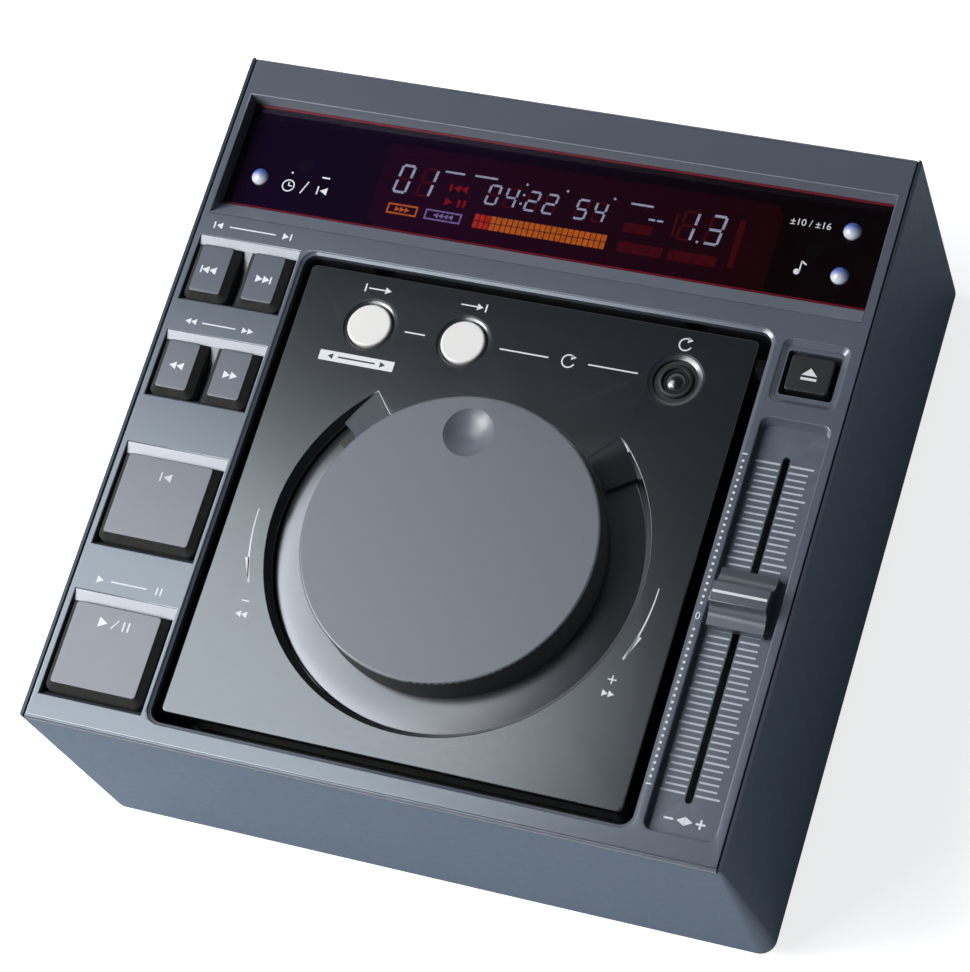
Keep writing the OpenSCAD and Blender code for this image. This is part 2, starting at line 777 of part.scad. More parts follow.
module channel_cut() {
    // channel with round corners; its rear wall slopes back
    slab(channel_x, [channel_y[0], channel_y[1] - channel_back], [channel_z, top_z + 1], 2.5);
    hull() {
        slab(channel_x, [channel_y[1] - 9, channel_y[1] - channel_back], [channel_z, channel_z + eps],
            2.5, $fn = 32);
        slab(channel_x, [channel_y[1] - 9, channel_y[1]], [top_z, top_z + 1], 2.5, $fn = 32);
    }
    slab([slider_x - slot_w / 2, slider_x + slot_w / 2], slot_y, [channel_z - 10, top_z], slot_w / 2 - eps);
}

module lid_key_cut() {
    translate([lid_key_at[0], lid_key_at[1], 0]) {
        hull() {
            slab([-frame_half, frame_half], [-frame_half, frame_half], [top_z, top_z + 1], 2.5, $fn = 32);
            slab(wider([-frame_half, frame_half], -frame_step), wider([-frame_half, frame_half], -frame_step),
                [top_z - frame_step, top_z - frame_step + eps], 1.5, $fn = 32);
        }
        slab([-lid_pocket[0] / 2, lid_pocket[0] / 2], [-lid_pocket[1] / 2, lid_pocket[1] / 2],
            [top_z - 20, top_z], 1);
    }
}

// ---------- display ----------

module display_window() {
    color([0.25, 0.03, 0.05])
    difference() {
        slab(wider(display_x, -0.1), wider(window_y, -0.1), [window_z - window_t, window_z], 0.6);
        for (at = [time_at, tempo_range_at, master_tempo_at])
            post(at, dot_hole_r, [window_z - window_t - 1, window_z + 1]);
    }
}

module display_module() {
    frame = 2.5;
    color([0.14, 0.05, 0.06])
    difference() {
        slab(module_x, module_y, module_z, 1);
        slab(wider(module_x, -frame), wider(module_y, -frame), [module_z[1] - 1, module_z[1] + 1], 0.6);
    }
}

module tact_switch(at, z) {
    block([at[0] - 3, at[0] + 3], [at[1] - 3, at[1] + 3], [z, z + switch_h * 0.7]);
    post(at, 1.7, [z, z + switch_h]);
}

module display_board() {
    z = display_board_z;
    color(board_green)
        block(wider(display_x, -3), [window_y[0] + 1, window_y[1] - 1], [z, z + board_t]);
    color([0.1, 0.1, 0.1]) {
        for (at = [time_at, tempo_range_at, master_tempo_at])
            tact_switch(at, z + board_t - eps);
        // posts of the display module
        for (x = [module_x[0] + 5, module_x[1] - 5])
            post([x, (module_y[0] + module_y[1]) / 2], 2, [z + board_t - eps, module_z[0]]);
        // posts that hold the board to the recess above
        for (x = [display_x[0] + 22, display_x[1] - 22])
            post([x, (window_y[0] + window_y[1]) / 2], 2.5, [z + board_t - eps, window_z - window_t]);
    }
}

// Domed button that stands in a hole of the window
module dot_button(at) {
    ball_r = (dot_r * dot_r + dot_proud * dot_proud) / (2 * dot_proud);
    color([0.45, 0.5, 0.75])
    translate([at[0], at[1], 0]) {
        intersection() {
            translate([0, 0, window_z + dot_proud - ball_r])
                sphere(r = ball_r);
            translate([0, 0, window_z - eps])
                cylinder(r = dot_r, h = dot_proud + 1);
        }
        translate([0, 0, dot_low])
            cylinder(r = dot_r, h = window_z - dot_low);
    }
}

module time_button() {
    dot_button(time_at);
}

module tempo_range_button() {
    dot_button(tempo_range_at);
}

module master_tempo_button() {
    dot_button(master_tempo_at);
}

// ---------- keys ----------

// Key with a bevelled face; x and y are its outline below the bevel
module key(x, y) {
    face_t = 0.4;
    color([0.42, 0.45, 0.50]) {
        hull() {
            slab(x, y, [key_top - key_bevel - face_t - 1, key_top - key_bevel - face_t], key_r, $fn = 32);
            slab(wider(x, -key_bevel), wider(y, -key_bevel), [key_top - face_t, key_top], 1, $fn = 32);
        }
        difference() {
            slab(x, y, [key_low, key_top - key_bevel - face_t - 0.5], key_r);
            // underside is hollow, with a plunger over the switch
            slab(wider(x, -1.4), wider(y, -1.4), [key_low - 1, key_low + 3], 1);
        }
        post([(x[0] + x[1]) / 2, (y[0] + y[1]) / 2], 2.4, [key_low, key_low + 4]);
    }
}

module play_key() {
    key(big_key_x(), big_key_y(play_y));
}

module cue_key() {
    key(big_key_x(), big_key_y(cue_y));
}

module search_back_key() {
    key(left_key_x(), pair_key_y(search_y));
}

module search_forward_key() {
    key(right_key_x(), pair_key_y(search_y));
}

module track_back_key() {
    key(left_key_x(), pair_key_y(track_y));
}

module track_forward_key() {
    key(right_key_x(), pair_key_y(track_y));
}

function middle(range) = (range[0] + range[1]) / 2;

module key_board() {
    z = key_board_z;
    color(board_green)
        block([key_x[0] + 0.5, key_x[1] - 0.5], [play_y[0] + 4, track_y[1]], [z, z + board_t]);
    color([0.1, 0.1, 0.1]) {
        for (y = [play_y, cue_y])
            tact_switch([key_mid, middle(big_key_y(y))], z + board_t - eps);
        for (y = [search_y, track_y], x = [left_key_x(), right_key_x()])
            tact_switch([middle(x), middle(pair_key_y(y))], z + board_t - eps);
        // posts that hold the board to the panel above
        for (y = [play_y[1] + cue_gap / 2, cue_y[1] + search_gap / 2])
            post([key_mid, y], 2.5, [z + board_t - eps, panel_z]);
    }
}

module lid_key() {
    color([0.16, 0.17, 0.18])
    translate([lid_key_at[0], lid_key_at[1], 0]) {
        slab([-lid_key_w / 2, lid_key_w / 2], [-lid_key_d / 2, lid_key_d / 2], [lid_key_low, top_z - 0.4], 1);
        // flange that stops the key from below
        slab(wider([-lid_pocket[0] / 2, lid_pocket[0] / 2], 1), [-lid_key_d / 2, lid_key_d / 2],
            [lid_key_low, lid_key_low + 1.4], 1);
    }
}

// ---------- tempo slider ----------

// Cap with a raised middle and hollowed slopes, drawn as a profile along the travel
module slider_cap() {
    half = cap_d / 2;
    ridge = 3.1;
    top = top_z + cap_proud;
    low_edge = top_z + 0.6;
    steps = 6;
    slope = [for (i = [0:steps])
        let (a = 90 * i / steps)
        [ridge + (half - 0.8 - ridge) * (1 - cos(a)), top - (top - low_edge) * sin(a)]];
    side = concat(slope, [[half - 0.2, low_edge - 0.1], [half, low_edge - 0.6], [half, cap_low]]);
    left = [for (i = [len(side) - 1:-1:0]) [-side[i][0], side[i][1]]];
    color([0.36, 0.38, 0.42])
    difference() {
        translate([0, slider_y, 0])
            along_x([slider_x - cap_w / 2, slider_x + cap_w / 2], concat(side, left));
        block([slider_x - 0.8, slider_x + 0.8], [slider_y - lever_d / 2, slider_y + lever_d / 2],
            [cap_low - 1, top_z + 2]);
    }
}

module fader_lever() {
    color(steel)
        block([slider_x - 0.8, slider_x + 0.8], [slider_y - lever_d / 2, slider_y + lever_d / 2],
            [fader_z[0] + 4, top_z + 2]);
}

// Slide fader under the channel: a folded case that the lever runs in
module fader_body() {
    length = [slot_y[0] - 4, slot_y[1] + 4];
    width = [slider_x - 6, slider_x + 6];
    color([0.6, 0.62, 0.64])
    difference() {
        block(width, length, fader_z);
        block(wider(width, -1), wider(length, -1), [fader_z[0] + 2.6, fader_z[1] - 1]);
        block([slider_x - 1.3, slider_x + 1.3], wider(slot_y, 0.5), [fader_z[0] + 2.6, fader_z[1] + 1]);
    }
}

// ---------- lid ----------

module lid_shell() {
    color([0.20, 0.22, 0.25])
    difference() {
        union() {
            slab(lid_x, lid_y, [lid_plate_z, top_z], 1.6);
            difference() {
                slab(skirt_x, skirt_y, [liner_z + liner_t, lid_plate_z + 0.1], 2.5);
                slab(wider(skirt_x, -skirt_t), wider(skirt_y, -skirt_t),
                    [liner_z, lid_plate_z], 1);
            }
            // round pan that holds the jog dial
            post([jog_x, jog_y], pan_r + pan_wall_t, [pan_floor_z - pan_floor_t, lid_plate_z + 0.1]);
            post([jog_x, jog_y], bush_boss_r, [bush_z[0], pan_floor_z]);
            for (at = [in_at, out_at, reloop_at])
                post(at, dish_r, [lid_plate_z - 1, lid_plate_z + 0.1]);
            // ribs that stiffen the top and carry the loop board
            for (x = [in_at[0] + loop_rib_in, reloop_at[0] - loop_rib_in])
                post([x, loop_y + loop_rib_back], loop_rib_r, [loop_board_z + board_t, lid_plate_z + 0.1]);
        }
        difference() {
            jog_opening();
            for (side = [0, 1])
                translate([jog_x, jog_y, 0])
                    mirror([side, 0, 0])
                        jog_shelf();
        }
        post([jog_x, jog_y], bush_r, [bush_z[0] - 1, pan_floor_z + 1]);
        for (at = [in_at, out_at])
            button_dish(at, loop_r + button_gap);
        button_dish(reloop_at, reloop_r + button_gap);
    }
}

// Space of the jog dial, with a sloped edge at the face
module jog_opening() {
    translate([jog_x, jog_y, 0])
        rotate_extrude()
            polygon([[0, pan_floor_z], [pan_r, pan_floor_z], [pan_r, top_z - jog_edge_h],
                [jog_open_r, top_z], [jog_open_r, top_z + 1], [0, top_z + 1]]);
}

// Right half of the shelf over the rear of the ring. Towards its front end the face slopes down
// from a fold that points at the jog axis.
module jog_shelf() {
    reach = jog_open_r + 4;
    arc = reach * sin(shelf_fold - shelf_step) + 1;
    fall = shelf_drop * reach / jog_open_r;
    difference() {
        translate([0, 0, shelf_z])
            linear_extrude(top_z + 2 - shelf_z)
                polygon([[-eps, 0], [reach * cos(shelf_step), reach * sin(shelf_step)], [reach, reach],
                    [-eps, reach]]);
        post([0, 0], shelf_in_r, [shelf_z - 1, top_z + 3]);
        rotate(shelf_fold)
            along_x([0, 2 * reach], [[0, top_z], [0, top_z + 3], [-2 * arc, top_z + 3],
                [-2 * arc, top_z - 2 * fall], [-arc, top_z - fall]]);
    }
}

module button_dish(at, hole_r) {
    translate([at[0], at[1], top_z - dish_depth])
        cylinder(r1 = max(hole_r, dish_r - 1.2), r2 = dish_r, h = dish_depth);
    post(at, dish_r, [top_z - eps, top_z + 1]);
    post(at, hole_r, [lid_plate_z - 2, top_z + 1]);
}

module lid_liner() {
    color([0.15, 0.16, 0.18])
    difference() {
        union() {
            slab(skirt_x, skirt_y, [liner_z, liner_z + liner_t], 2.5);
            // striker that runs into the latch
            block(around(strike_at[0], strike_half), around(strike_at[1], 1),
                [deck_z - 8, liner_z + eps]);
            // collar round the clamp puck
            post([jog_x, jog_y], puck_hole_r + 6, [liner_z, liner_z + liner_t]);
        }
        post([jog_x, jog_y], puck_hole_r, [liner_z - 1, liner_z + liner_t + 1]);
    }
}

// Gooseneck arms that pass under the rear edge of the lid opening
module hinge_arms() {
    color([0.15, 0.16, 0.18])
        for (x = arm_x)
            difference() {
                union() {
                    translate([x - arm_t / 2, hinge_y, hinge_z])
                        rotate([0, 90, 0])
                            cylinder(r = hinge_eye_r, h = arm_t);
                    along_x([x - arm_t / 2, x + arm_t / 2],
                        [[hinge_y - hinge_eye_r + 0.6, hinge_z], [hinge_y + hinge_eye_r - 0.6, hinge_z],
                        [hinge_y + hinge_eye_r - 0.6, arm_low + 1], [hinge_y + hinge_eye_r - 1.6, arm_low],
                        [skirt_y[1], arm_low], [skirt_y[1], arm_high],
                        [hinge_y - hinge_eye_r - 0.4, arm_high],
                        [hinge_y - hinge_eye_r + 0.6, arm_high + 1]]);
                }
                hinge_bore(x, hinge_pin_r + run_fit);
            }
}

module hinge_bore(x, r) {
    translate([x - 20, hinge_y, hinge_z])
        rotate([0, 90, 0])
            cylinder(r = r, h = 40);
}

// Ears under the panel on both sides of each arm
module hinge_brackets() {
    color(steel)
        for (x = arm_x, s = [-1, 1])
            difference() {
                translate([x + s * (bracket_at + bracket_t / 2) - bracket_t / 2, 0, 0]) {
                    translate([0, hinge_y, hinge_z])
                        rotate([0, 90, 0])
                            cylinder(r = hinge_eye_r, h = bracket_t);
                    block([0, bracket_t], [hinge_y - hinge_eye_r, hinge_y + 0.8], [hinge_z, panel_z]);
                }
                hinge_bore(x, hinge_pin_r);
            }
}

module hinge_pins() {
    color(steel)
        for (x = arm_x)
            translate([x - pin_l / 2, hinge_y, hinge_z])
                rotate([0, 90, 0])
                    cylinder(r = hinge_pin_r, h = pin_l);
}

module lid_springs() {
    start = bracket_at + bracket_t + 0.6;
    color(steel)
        for (x = [arm_x[0] - start - spring_l, arm_x[1] + start])
            translate([x, hinge_y, hinge_z])
                coil(spring_l, hinge_pin_r + 0.3 + spring_wire_r, spring_wire_r, spring_turns);
}

// Latch with its lid switch, under the deck
module lid_latch() {
    color([0.2, 0.2, 0.22])
    difference() {
        block(around(strike_at[0], latch_room + latch_wall_t), around(strike_at[1], latch_room + 1),
            [deck_z - 16, deck_z - deck_t]);
        block(around(strike_at[0], latch_room), [strike_at[1] - strike_half, strike_at[1] + 3],
            [deck_z - 11, deck_z]);
    }
}

// ---------- jog dial ----------

module jog_bush() {
    color([0.75, 0.6, 0.3])
        translate([jog_x, jog_y, 0])
            rotate_extrude()
                polygon([[jog_shaft_r + run_fit, bush_z[0]], [bush_r, bush_z[0]], [bush_r, pan_floor_z],
                    [bush_r + 1.4, pan_floor_z], [bush_r + 1.4, bush_z[1]],
                    [jog_shaft_r + run_fit, bush_z[1]]]);
}

module jog_shaft() {
    color(steel)
        post([jog_x, jog_y], jog_shaft_r, [shaft_low, platter_z - 4]);
}

module jog_platter() {
    side_t = 2.2;
    top_t = 3.8;
    edge_r = 0.8;
    low = web_z[1];
    ball_r = (dimple_r * dimple_r + dimple_depth * dimple_depth) / (2 * dimple_depth);
    dimple_angle = 97;
    color([0.42, 0.45, 0.50])
    translate([jog_x, jog_y, 0])
    difference() {
        union() {
            rotate_extrude() {
                translate([0, platter_z - top_t])
                    square([platter_r - edge_r, top_t]);
                translate([platter_r - side_t, low])
                    square([side_t, platter_z - edge_r - low]);
                translate([platter_r - edge_r, platter_z - edge_r])
                    circle(r = edge_r);
            }
            translate([0, 0, low])
                cylinder(r = 7, h = platter_z - top_t - low + 0.5);
        }
        translate([0, 0, low - 1])
            cylinder(r = jog_shaft_r, h = platter_z - 4 - low + 1);
        rotate(dimple_angle)
            translate([dimple_at, 0, platter_z - dimple_depth + ball_r])
                sphere(r = ball_r, $fn = 64);
    }
}

// Dished ring with a small square finger mark and a flat web that carries the platter
module jog_ring() {
    rim = 1;
    mark_angle = 147.6;
    mark_at = ring_r - rim - 2;
    color([0.46, 0.49, 0.53])
    difference() {
        translate([jog_x, jog_y, 0])
            rotate_extrude()
                polygon([[jog_shaft_r, web_z[0]], [ring_r, web_z[0]], [ring_r, ring_z - 0.3],
                    [ring_r - 0.3, ring_z], [ring_r - rim, ring_z], [ring_r - rim - 0.4, ring_z - 0.4],
                    [platter_r + 0.6, ring_inner_z], [platter_r + 0.4, web_z[1]], [jog_shaft_r, web_z[1]]]);
        translate([jog_x, jog_y, 0])
            rotate(mark_angle)
                block([mark_at - 1.4, mark_at + 1.4], [0, 5], [ring_inner_z + 0.2, top_z]);
    }
}

module encoder_disc() {
    slot_r = encoder_r - 3.6;
    color([0.1, 0.1, 0.1])
    translate([jog_x, jog_y, 0])
    difference() {
        union() {
            translate([0, 0, encoder_z])
                cylinder(r = encoder_r, h = encoder_t);
            translate([0, 0, shaft_low])
                cylinder(r = encoder_hub_r, h = encoder_z + encoder_t + 0.8 - shaft_low);
        }
        translate([0, 0, shaft_low - 1])
            cylinder(r = jog_shaft_r, h = 10);
        for (i = [0:encoder_slots - 1])
            rotate(360 * i / encoder_slots)
                translate([slot_r, -0.6, encoder_z - 1])
                    cube([2.6, 1.2, encoder_t + 2]);
    }
}

// Board under the pan, with the slotted light sensor that reads the encoder disc
module jog_sensor_board() {
    under = pan_floor_z - pan_floor_t;
    low = encoder_z - 1.4;
    color(board_green)
        translate([jog_x, jog_y, 0])
            block([sensor_x - 1, sensor_x + 22], [-9, 9], [under - board_t, under]);
    color([0.1, 0.1, 0.1])
        translate([jog_x, jog_y, 0])
            difference() {
                block([sensor_x + 1, sensor_x + 11], [-3, 3], [low, under - board_t]);
                block([sensor_x, encoder_r + 0.8], [-4, 4], [encoder_z - 0.5, encoder_z + encoder_t + 0.5]);
            }
}

module loop_button(at, r, proud) {
    edge = 0.7;
    color([0.95, 0.95, 0.96])
    translate([at[0], at[1], 0]) {
        rotate_extrude() {
            translate([0, loop_low])
                square([r, top_z + proud - edge - loop_low]);
            translate([0, loop_low])
                square([r - edge, top_z + proud - loop_low]);
            translate([r - edge, top_z + proud - edge])
                circle(r = edge);
        }
    }
}

module in_button() {
    loop_button(in_at, loop_r, 0.4);
}

module out_button() {
    loop_button(out_at, loop_r, 0.4);
}

// Small domed button inside a fixed-looking collar of its own
module reloop_button() {
    ball_r = 4.4;
    top = top_z + 0.2;
    color([0.12, 0.13, 0.14])
    translate([reloop_at[0], reloop_at[1], 0]) {
        translate([0, 0, loop_low])
            cylinder(r = reloop_r, h = top - 1.4 - loop_low);
        intersection() {
            translate([0, 0, top - ball_r])
                sphere(r = ball_r);
            translate([0, 0, top - 2])
                cylinder(r = reloop_r, h = 3);
        }
    }
}

module loop_board() {
    z = loop_board_z;
    color(board_green)
        block([in_at[0] - loop_board_side, reloop_at[0] + loop_board_side], loop_board_y, [z, z + board_t]);
    color([0.1, 0.1, 0.1])
        for (at = [in_at, out_at, reloop_at])
            tact_switch(at, z + board_t - eps);
}

// ---------- disc drive ----------

// Puck that clamps the disc to the hub; it hangs loose in the liner
module clamp_puck() {
    nose_room = hub_nose_r + 2;
    color([0.2, 0.2, 0.22])
    translate([jog_x, jog_y, 0])
        rotate_extrude()
            polygon([[0, puck_z[0] + 1.8], [nose_room, puck_z[0] + 1.8], [nose_room, puck_z[0]],
                [puck_r, puck_z[0]], [puck_r, puck_z[1]], [puck_stem_r, puck_z[1]],
                [puck_stem_r, liner_z + liner_t + 0.3], [puck_flange_r, liner_z + liner_t + 0.3],
                [puck_flange_r, liner_z + liner_t + 1.3], [0, liner_z + liner_t + 1.3]]);
}

// Moulded basin under the lid, with the round well for the disc
module disc_well() {
    rim_z = panel_z;
    color([0.13, 0.14, 0.15])
    difference() {
        union() {
            difference() {
                slab(wider(open_x, basin_t), wider(open_y, basin_t), [deck_z - deck_t, rim_z],
                    lid_corner_r + basin_t);
                slab(open_x, open_y, [deck_z, rim_z + 1], lid_corner_r);
            }
            post([jog_x, jog_y], well_r + well_t, [well_under, deck_z]);
            // a post outside the round well reaches up to the deck
            for (at = damper_at)
                post([jog_x + at[0], jog_y + at[1]], damper_hole_r,
                    [chassis_z - 3, norm(at) < well_r ? well_under + eps : deck_z - deck_t + eps]);
        }
        post([jog_x, jog_y], well_r, [well_z, deck_z + 1]);
        // finger scallops at both sides of the disc
        for (x = wider(open_x, -scallop_in))
            post([x, jog_y], scallop_r, [well_z + 3, deck_z + 1]);
        post([jog_x, jog_y], hub_hole_r, [well_under - 1, well_z + 1]);
        // slot that the lens travels along
        block([jog_x, jog_x + slot_end], around(jog_y, slot_half), [well_under - 1, well_z + 0.1]);
        // notches that the gooseneck arms pass through
        for (x = arm_x)
            block([x - arm_t / 2 - 1, x + arm_t / 2 + 1], [open_y[1] - 1, open_y[1] + basin_t + 1],
                [arm_low - 1.4, rim_z + 1]);
        block(around(strike_at[0], latch_room), [strike_at[1] - strike_half, strike_at[1] + 3],
            [deck_z - deck_t - 1, deck_z + 1]);
    }
}

module turntable_hub() {
    color([0.85, 0.85, 0.87])
    translate([jog_x, jog_y, 0])
        rotate_extrude()
            polygon([[0, motor_z[0] + 2], [spindle_r, motor_z[0] + 2], [spindle_r, motor_z[1] + 0.6],
                [4, motor_z[1] + 0.6], [4, hub_low], [hub_seat_r, hub_low], [hub_seat_r, seat_z],
                [hub_nose_r, seat_z], [hub_nose_r, seat_z + nose_h],
                [hub_nose_r - 1.6, seat_z + nose_h + nose_cone_h], [0, seat_z + nose_h + nose_cone_h]]);
}

module spindle_motor() {
    color(steel)
    translate([jog_x, jog_y, 0])
        rotate_extrude()
            polygon([[spindle_r + run_fit, motor_z[0]], [motor_r, motor_z[0]], [motor_r, motor_z[1] - 1],
                [motor_r - 1, motor_z[1]], [spindle_r + run_fit, motor_z[1]]]);
}

// Plate that carries the spindle motor, the rods, the gears and the sled motor
module traverse_chassis() {
    z = [chassis_z, chassis_z + chassis_t];
    color([0.25, 0.26, 0.28])
    translate([jog_x, jog_y, 0])
    difference() {
        union() {
            slab(chassis_x, chassis_y, z, 6);
            // walls that hold the ends of the guide rods
            for (x = rod_x)
                for (s = [-1, 1])
                    block([x, x + rod_wall], wider([s * rod_offset, s * rod_offset], 2.3), [z[0], rod_z + 3]);
            // axle of the drive gear
            post([gear_x, gear_y], axle_r, [z[0], rack_z[1] + 1]);
        }
        for (s = [-1, 1])
            translate([0, s * rod_offset, rod_z])
                rotate([0, 90, 0])
                    cylinder(r = rod_r, h = rod_x[1] + 2 * rod_wall);
        for (at = damper_at)
            post(at, damper_neck_r, [z[0] - 1, z[1] + 1]);
        // window under the sled
        slab([motor_r + 4, rod_x[1] - 8], [-rod_offset + 8, rod_offset - 6], [z[0] - 1, z[1] + 1], 3);
        post([gear_x, motor_y], 2.4, [z[0] - 1, z[1] + 1]);
    }
}

module traverse_dampers() {
    z = chassis_z;
    color([0.15, 0.15, 0.16])
        for (at = damper_at)
            translate([jog_x + at[0], jog_y + at[1], 0])
                rotate_extrude()
                    polygon([[damper_hole_r, z - 2], [damper_r, z - 2], [damper_r, z], [damper_neck_r, z],
                        [damper_neck_r, z + chassis_t], [damper_r, z + chassis_t],
                        [damper_r, z + chassis_t + 2.4], [damper_hole_r, z + chassis_t + 2.4]]);
}

module guide_rods() {
    color(steel)
        for (s = [-1, 1])
            translate([jog_x + rod_x[0], jog_y + s * rod_offset, rod_z])
                rotate([0, 90, 0])
                    cylinder(r = rod_r, h = rod_x[1] - rod_x[0] + rod_wall);
}

module pickup_sled() {
    x = [lens_in - sled_in, lens_in + sled_out];
    color([0.3, 0.31, 0.33])
    translate([jog_x, jog_y, 0])
    difference() {
        union() {
            block(x, [-sled_half, sled_half], sled_z);
            block([lens_in - 5.5, lens_in + tower_end], around(0, tower_half), [sled_z[1] - 1, lens_low]);
            rack();
        }
        translate([0, -rod_offset, rod_z])
            rotate([0, 90, 0])
                cylinder(r = rod_r + run_fit, h = 120);
        // open fork over the second rod
        block([0, 120], [rod_offset - rod_r - pass_gap, sled_half + 1],
            [rod_z - rod_r - pass_gap, rod_z + rod_r + pass_gap]);
    }
}

// Rack along the front of the sled; a tooth gap faces the drive pinion at rest
module rack() {
    base_y = rack_pitch_y + 1.2 * gear_module;
    tip_y = rack_pitch_y - 0.9 * gear_module;
    before = floor((gear_x - lens_in - rack_x[0]) / pitch - 1);
    after = floor((lens_in + rack_x[1] - gear_x) / pitch - 1);
    color([0.85, 0.85, 0.8]) {
        block([lens_in + rack_x[0], lens_in + rack_x[1]], [base_y, -sled_half + eps], rack_z);
        for (i = [-before:after])
            translate([gear_x + pitch * (i + 0.5), 0, rack_z[0]])
                linear_extrude(rack_z[1] - rack_z[0])
                    polygon([[-0.33 * pitch, base_y + eps], [-0.1 * pitch, tip_y], [0.1 * pitch, tip_y],
                        [0.33 * pitch, base_y + eps]]);
    }
}

module objective_lens() {
    holder_h = 1.6;
    color([0.4, 0.45, 0.75])
    translate([jog_x + lens_in, jog_y, 0]) {
        translate([0, 0, lens_low])
            cylinder(r = lens_r + 1, h = holder_h);
        translate([0, 0, lens_low + holder_h])
            cylinder(r1 = lens_r, r2 = lens_r - 1.2, h = lens_top - lens_low - holder_h);
    }
}

// Rack pinion and drive wheel, moulded as one
module drive_gear() {
    color([0.9, 0.9, 0.86])
    translate([jog_x + gear_x, jog_y + gear_y, 0])
    difference() {
        union() {
            translate([0, 0, wheel_z[0]])
                linear_extrude(wheel_z[1] - wheel_z[0])
                    rotate(270)
                        polygon(gear_points(wheel_teeth));
            translate([0, 0, wheel_z[1] - eps])
                linear_extrude(rack_z[1] + 0.5 - wheel_z[1])
                    rotate(90)
                        polygon(gear_points(rack_pinion_teeth));
        }
        translate([0, 0, wheel_z[0] - 1])
            cylinder(r = axle_r + run_fit, h = 20);
    }
}

module motor_pinion() {
    color([0.85, 0.7, 0.35])
    translate([jog_x + gear_x, jog_y + motor_y, 0]) {
        difference() {
            translate([0, 0, wheel_z[0]])
                linear_extrude(wheel_z[1] - wheel_z[0] + 0.6)
                    rotate(90 + 180 / motor_teeth)
                        polygon(gear_points(motor_teeth));
            translate([0, 0, wheel_z[0] - 1])
                cylinder(r = pinion_bore_r, h = 10);
        }
        translate([0, 0, chassis_z - 2])
            cylinder(r = pinion_bore_r, h = wheel_z[1] + 0.6 - chassis_z + 2);
    }
}

module sled_motor() {
    color(steel)
    translate([jog_x + gear_x, jog_y + motor_y, 0])
        difference() {
            translate([0, 0, chassis_z - sled_motor_h])
                cylinder(r = sled_motor_r, h = sled_motor_h);
            translate([0, 0, chassis_z - 3])
                cylinder(r = pinion_bore_r + run_fit, h = 4);
        }
}

// ---------- electronics ----------

// Spacers that carry a board on the bottom plate
module spacers(x, y) {
    color("silver")
        for (at_x = x, at_y = y)
            post([at_x, at_y], spacer_r, [floor_z, main_z]);
}

module main_board() {
    z = main_z;
    // each chip: its place as shares of the board, and its size
    chips = [[0.07, 0.27, 24, 24], [0.36, 0.2, 18, 28], [0.64, 0.42, 20, 20], [0.14, 0.64, 14, 20],
        [0.71, 0.09, 12, 18]];
    size = [main_x[1] - main_x[0], main_y[1] - main_y[0]];
    color(board_green)
        block(main_x, main_y, [z, z + board_t]);
    spacers(wider(main_x, -14), wider(main_y, -14));
    color([0.1, 0.1, 0.1])
        for (c = chips)
            translate([main_x[0] + c[0] * size[0], main_y[0] + c[1] * size[1], 0])
                block([0, c[2]], [0, c[3]], [z + board_t - eps, z + board_t + 2.4]);
    color([0.2, 0.25, 0.4])
        for (i = [0:4])
            post([main_x[0] + 8 + i * 13, main_y[1] - 16], 3.5, [z + board_t - eps, z + board_t + 9]);
}

module power_board() {
    z = main_z;
    fins = 5;
    fin_pitch = 5;
    color(board_green)
        block(power_x, power_y, [z, z + board_t]);
    spacers(wider(power_x, -6), wider(power_y, -6));
    color([0.2, 0.25, 0.4])
        for (i = [0:2])
            post([power_x[0] + 12 + i * 15, power_y[0] + 10], 5.5, [z + board_t - eps, z + 20]);
    // finned heat sink along the rear of the board
    color(steel) {
        block([power_x[0] + 20, power_x[0] + 46], [power_y[1] - 12, power_y[1] - 10],
            [z + board_t - eps, z + 26]);
        for (i = [0:fins - 1])
            block([power_x[0] + 20 + i * (fin_pitch + 1), power_x[0] + 22 + i * (fin_pitch + 1)],
                [power_y[1] - 10 - eps, power_y[1] - 3], [z + board_t - eps, z + 26]);
    }
}

module power_transformer() {
    at = transformer_at;
    z = floor_z;
    iron_y = around(at[1], transformer_d / 4);
    color([0.45, 0.46, 0.48]) {
        block(around(at[0], transformer_w / 2), iron_y, [z, z + transformer_h]);
        block(around(at[0], transformer_w / 2 + transformer_foot), iron_y, [z, z + 1.6]);
    }
    // ends of the windings
    color([0.75, 0.6, 0.2])
        for (y = [[at[1] - transformer_d / 2, iron_y[0] + eps], [iron_y[1] - eps, at[1] + transformer_d / 2]])
            block(around(at[0], transformer_w / 4), y, [z + 4, z + transformer_h - 4]);
}

// Turned socket of an audio jack: sleeve, flange and body behind the wall
module audio_sockets() {
    color([0.85, 0.75, 0.45])
        for (x = socket_x)
            translate([x, recess_y + socket_l, socket_z])
                rotate([90, 0, 0])
                    rotate_extrude()
                        polygon([[1.7, 0], [socket_r, 0], [socket_r, socket_l - 1], [socket_r + 2, socket_l - 1],
                            [socket_r + 2, socket_l], [socket_r, socket_l], [socket_r, socket_l + 10],
                            [0, socket_l + 10], [0, 8], [1.7, 8]]);
}

module control_socket() {
    color([0.1, 0.1, 0.1])
        translate([control_x, recess_y, socket_z])
            rotate([90, 0, 0])
                rotate_extrude()
                    polygon([[control_r, -1.6], [control_r + 2.6, -1.6], [control_r + 2.6, 0],
                        [control_r + 1.2, 0], [control_r + 1.2, recess_wall_t],
                        [control_r + 3.2, recess_wall_t], [control_r + 3.2, recess_wall_t + 13],
                        [0, recess_wall_t + 13], [0, recess_wall_t + 12], [control_r, recess_wall_t + 12]]);
}

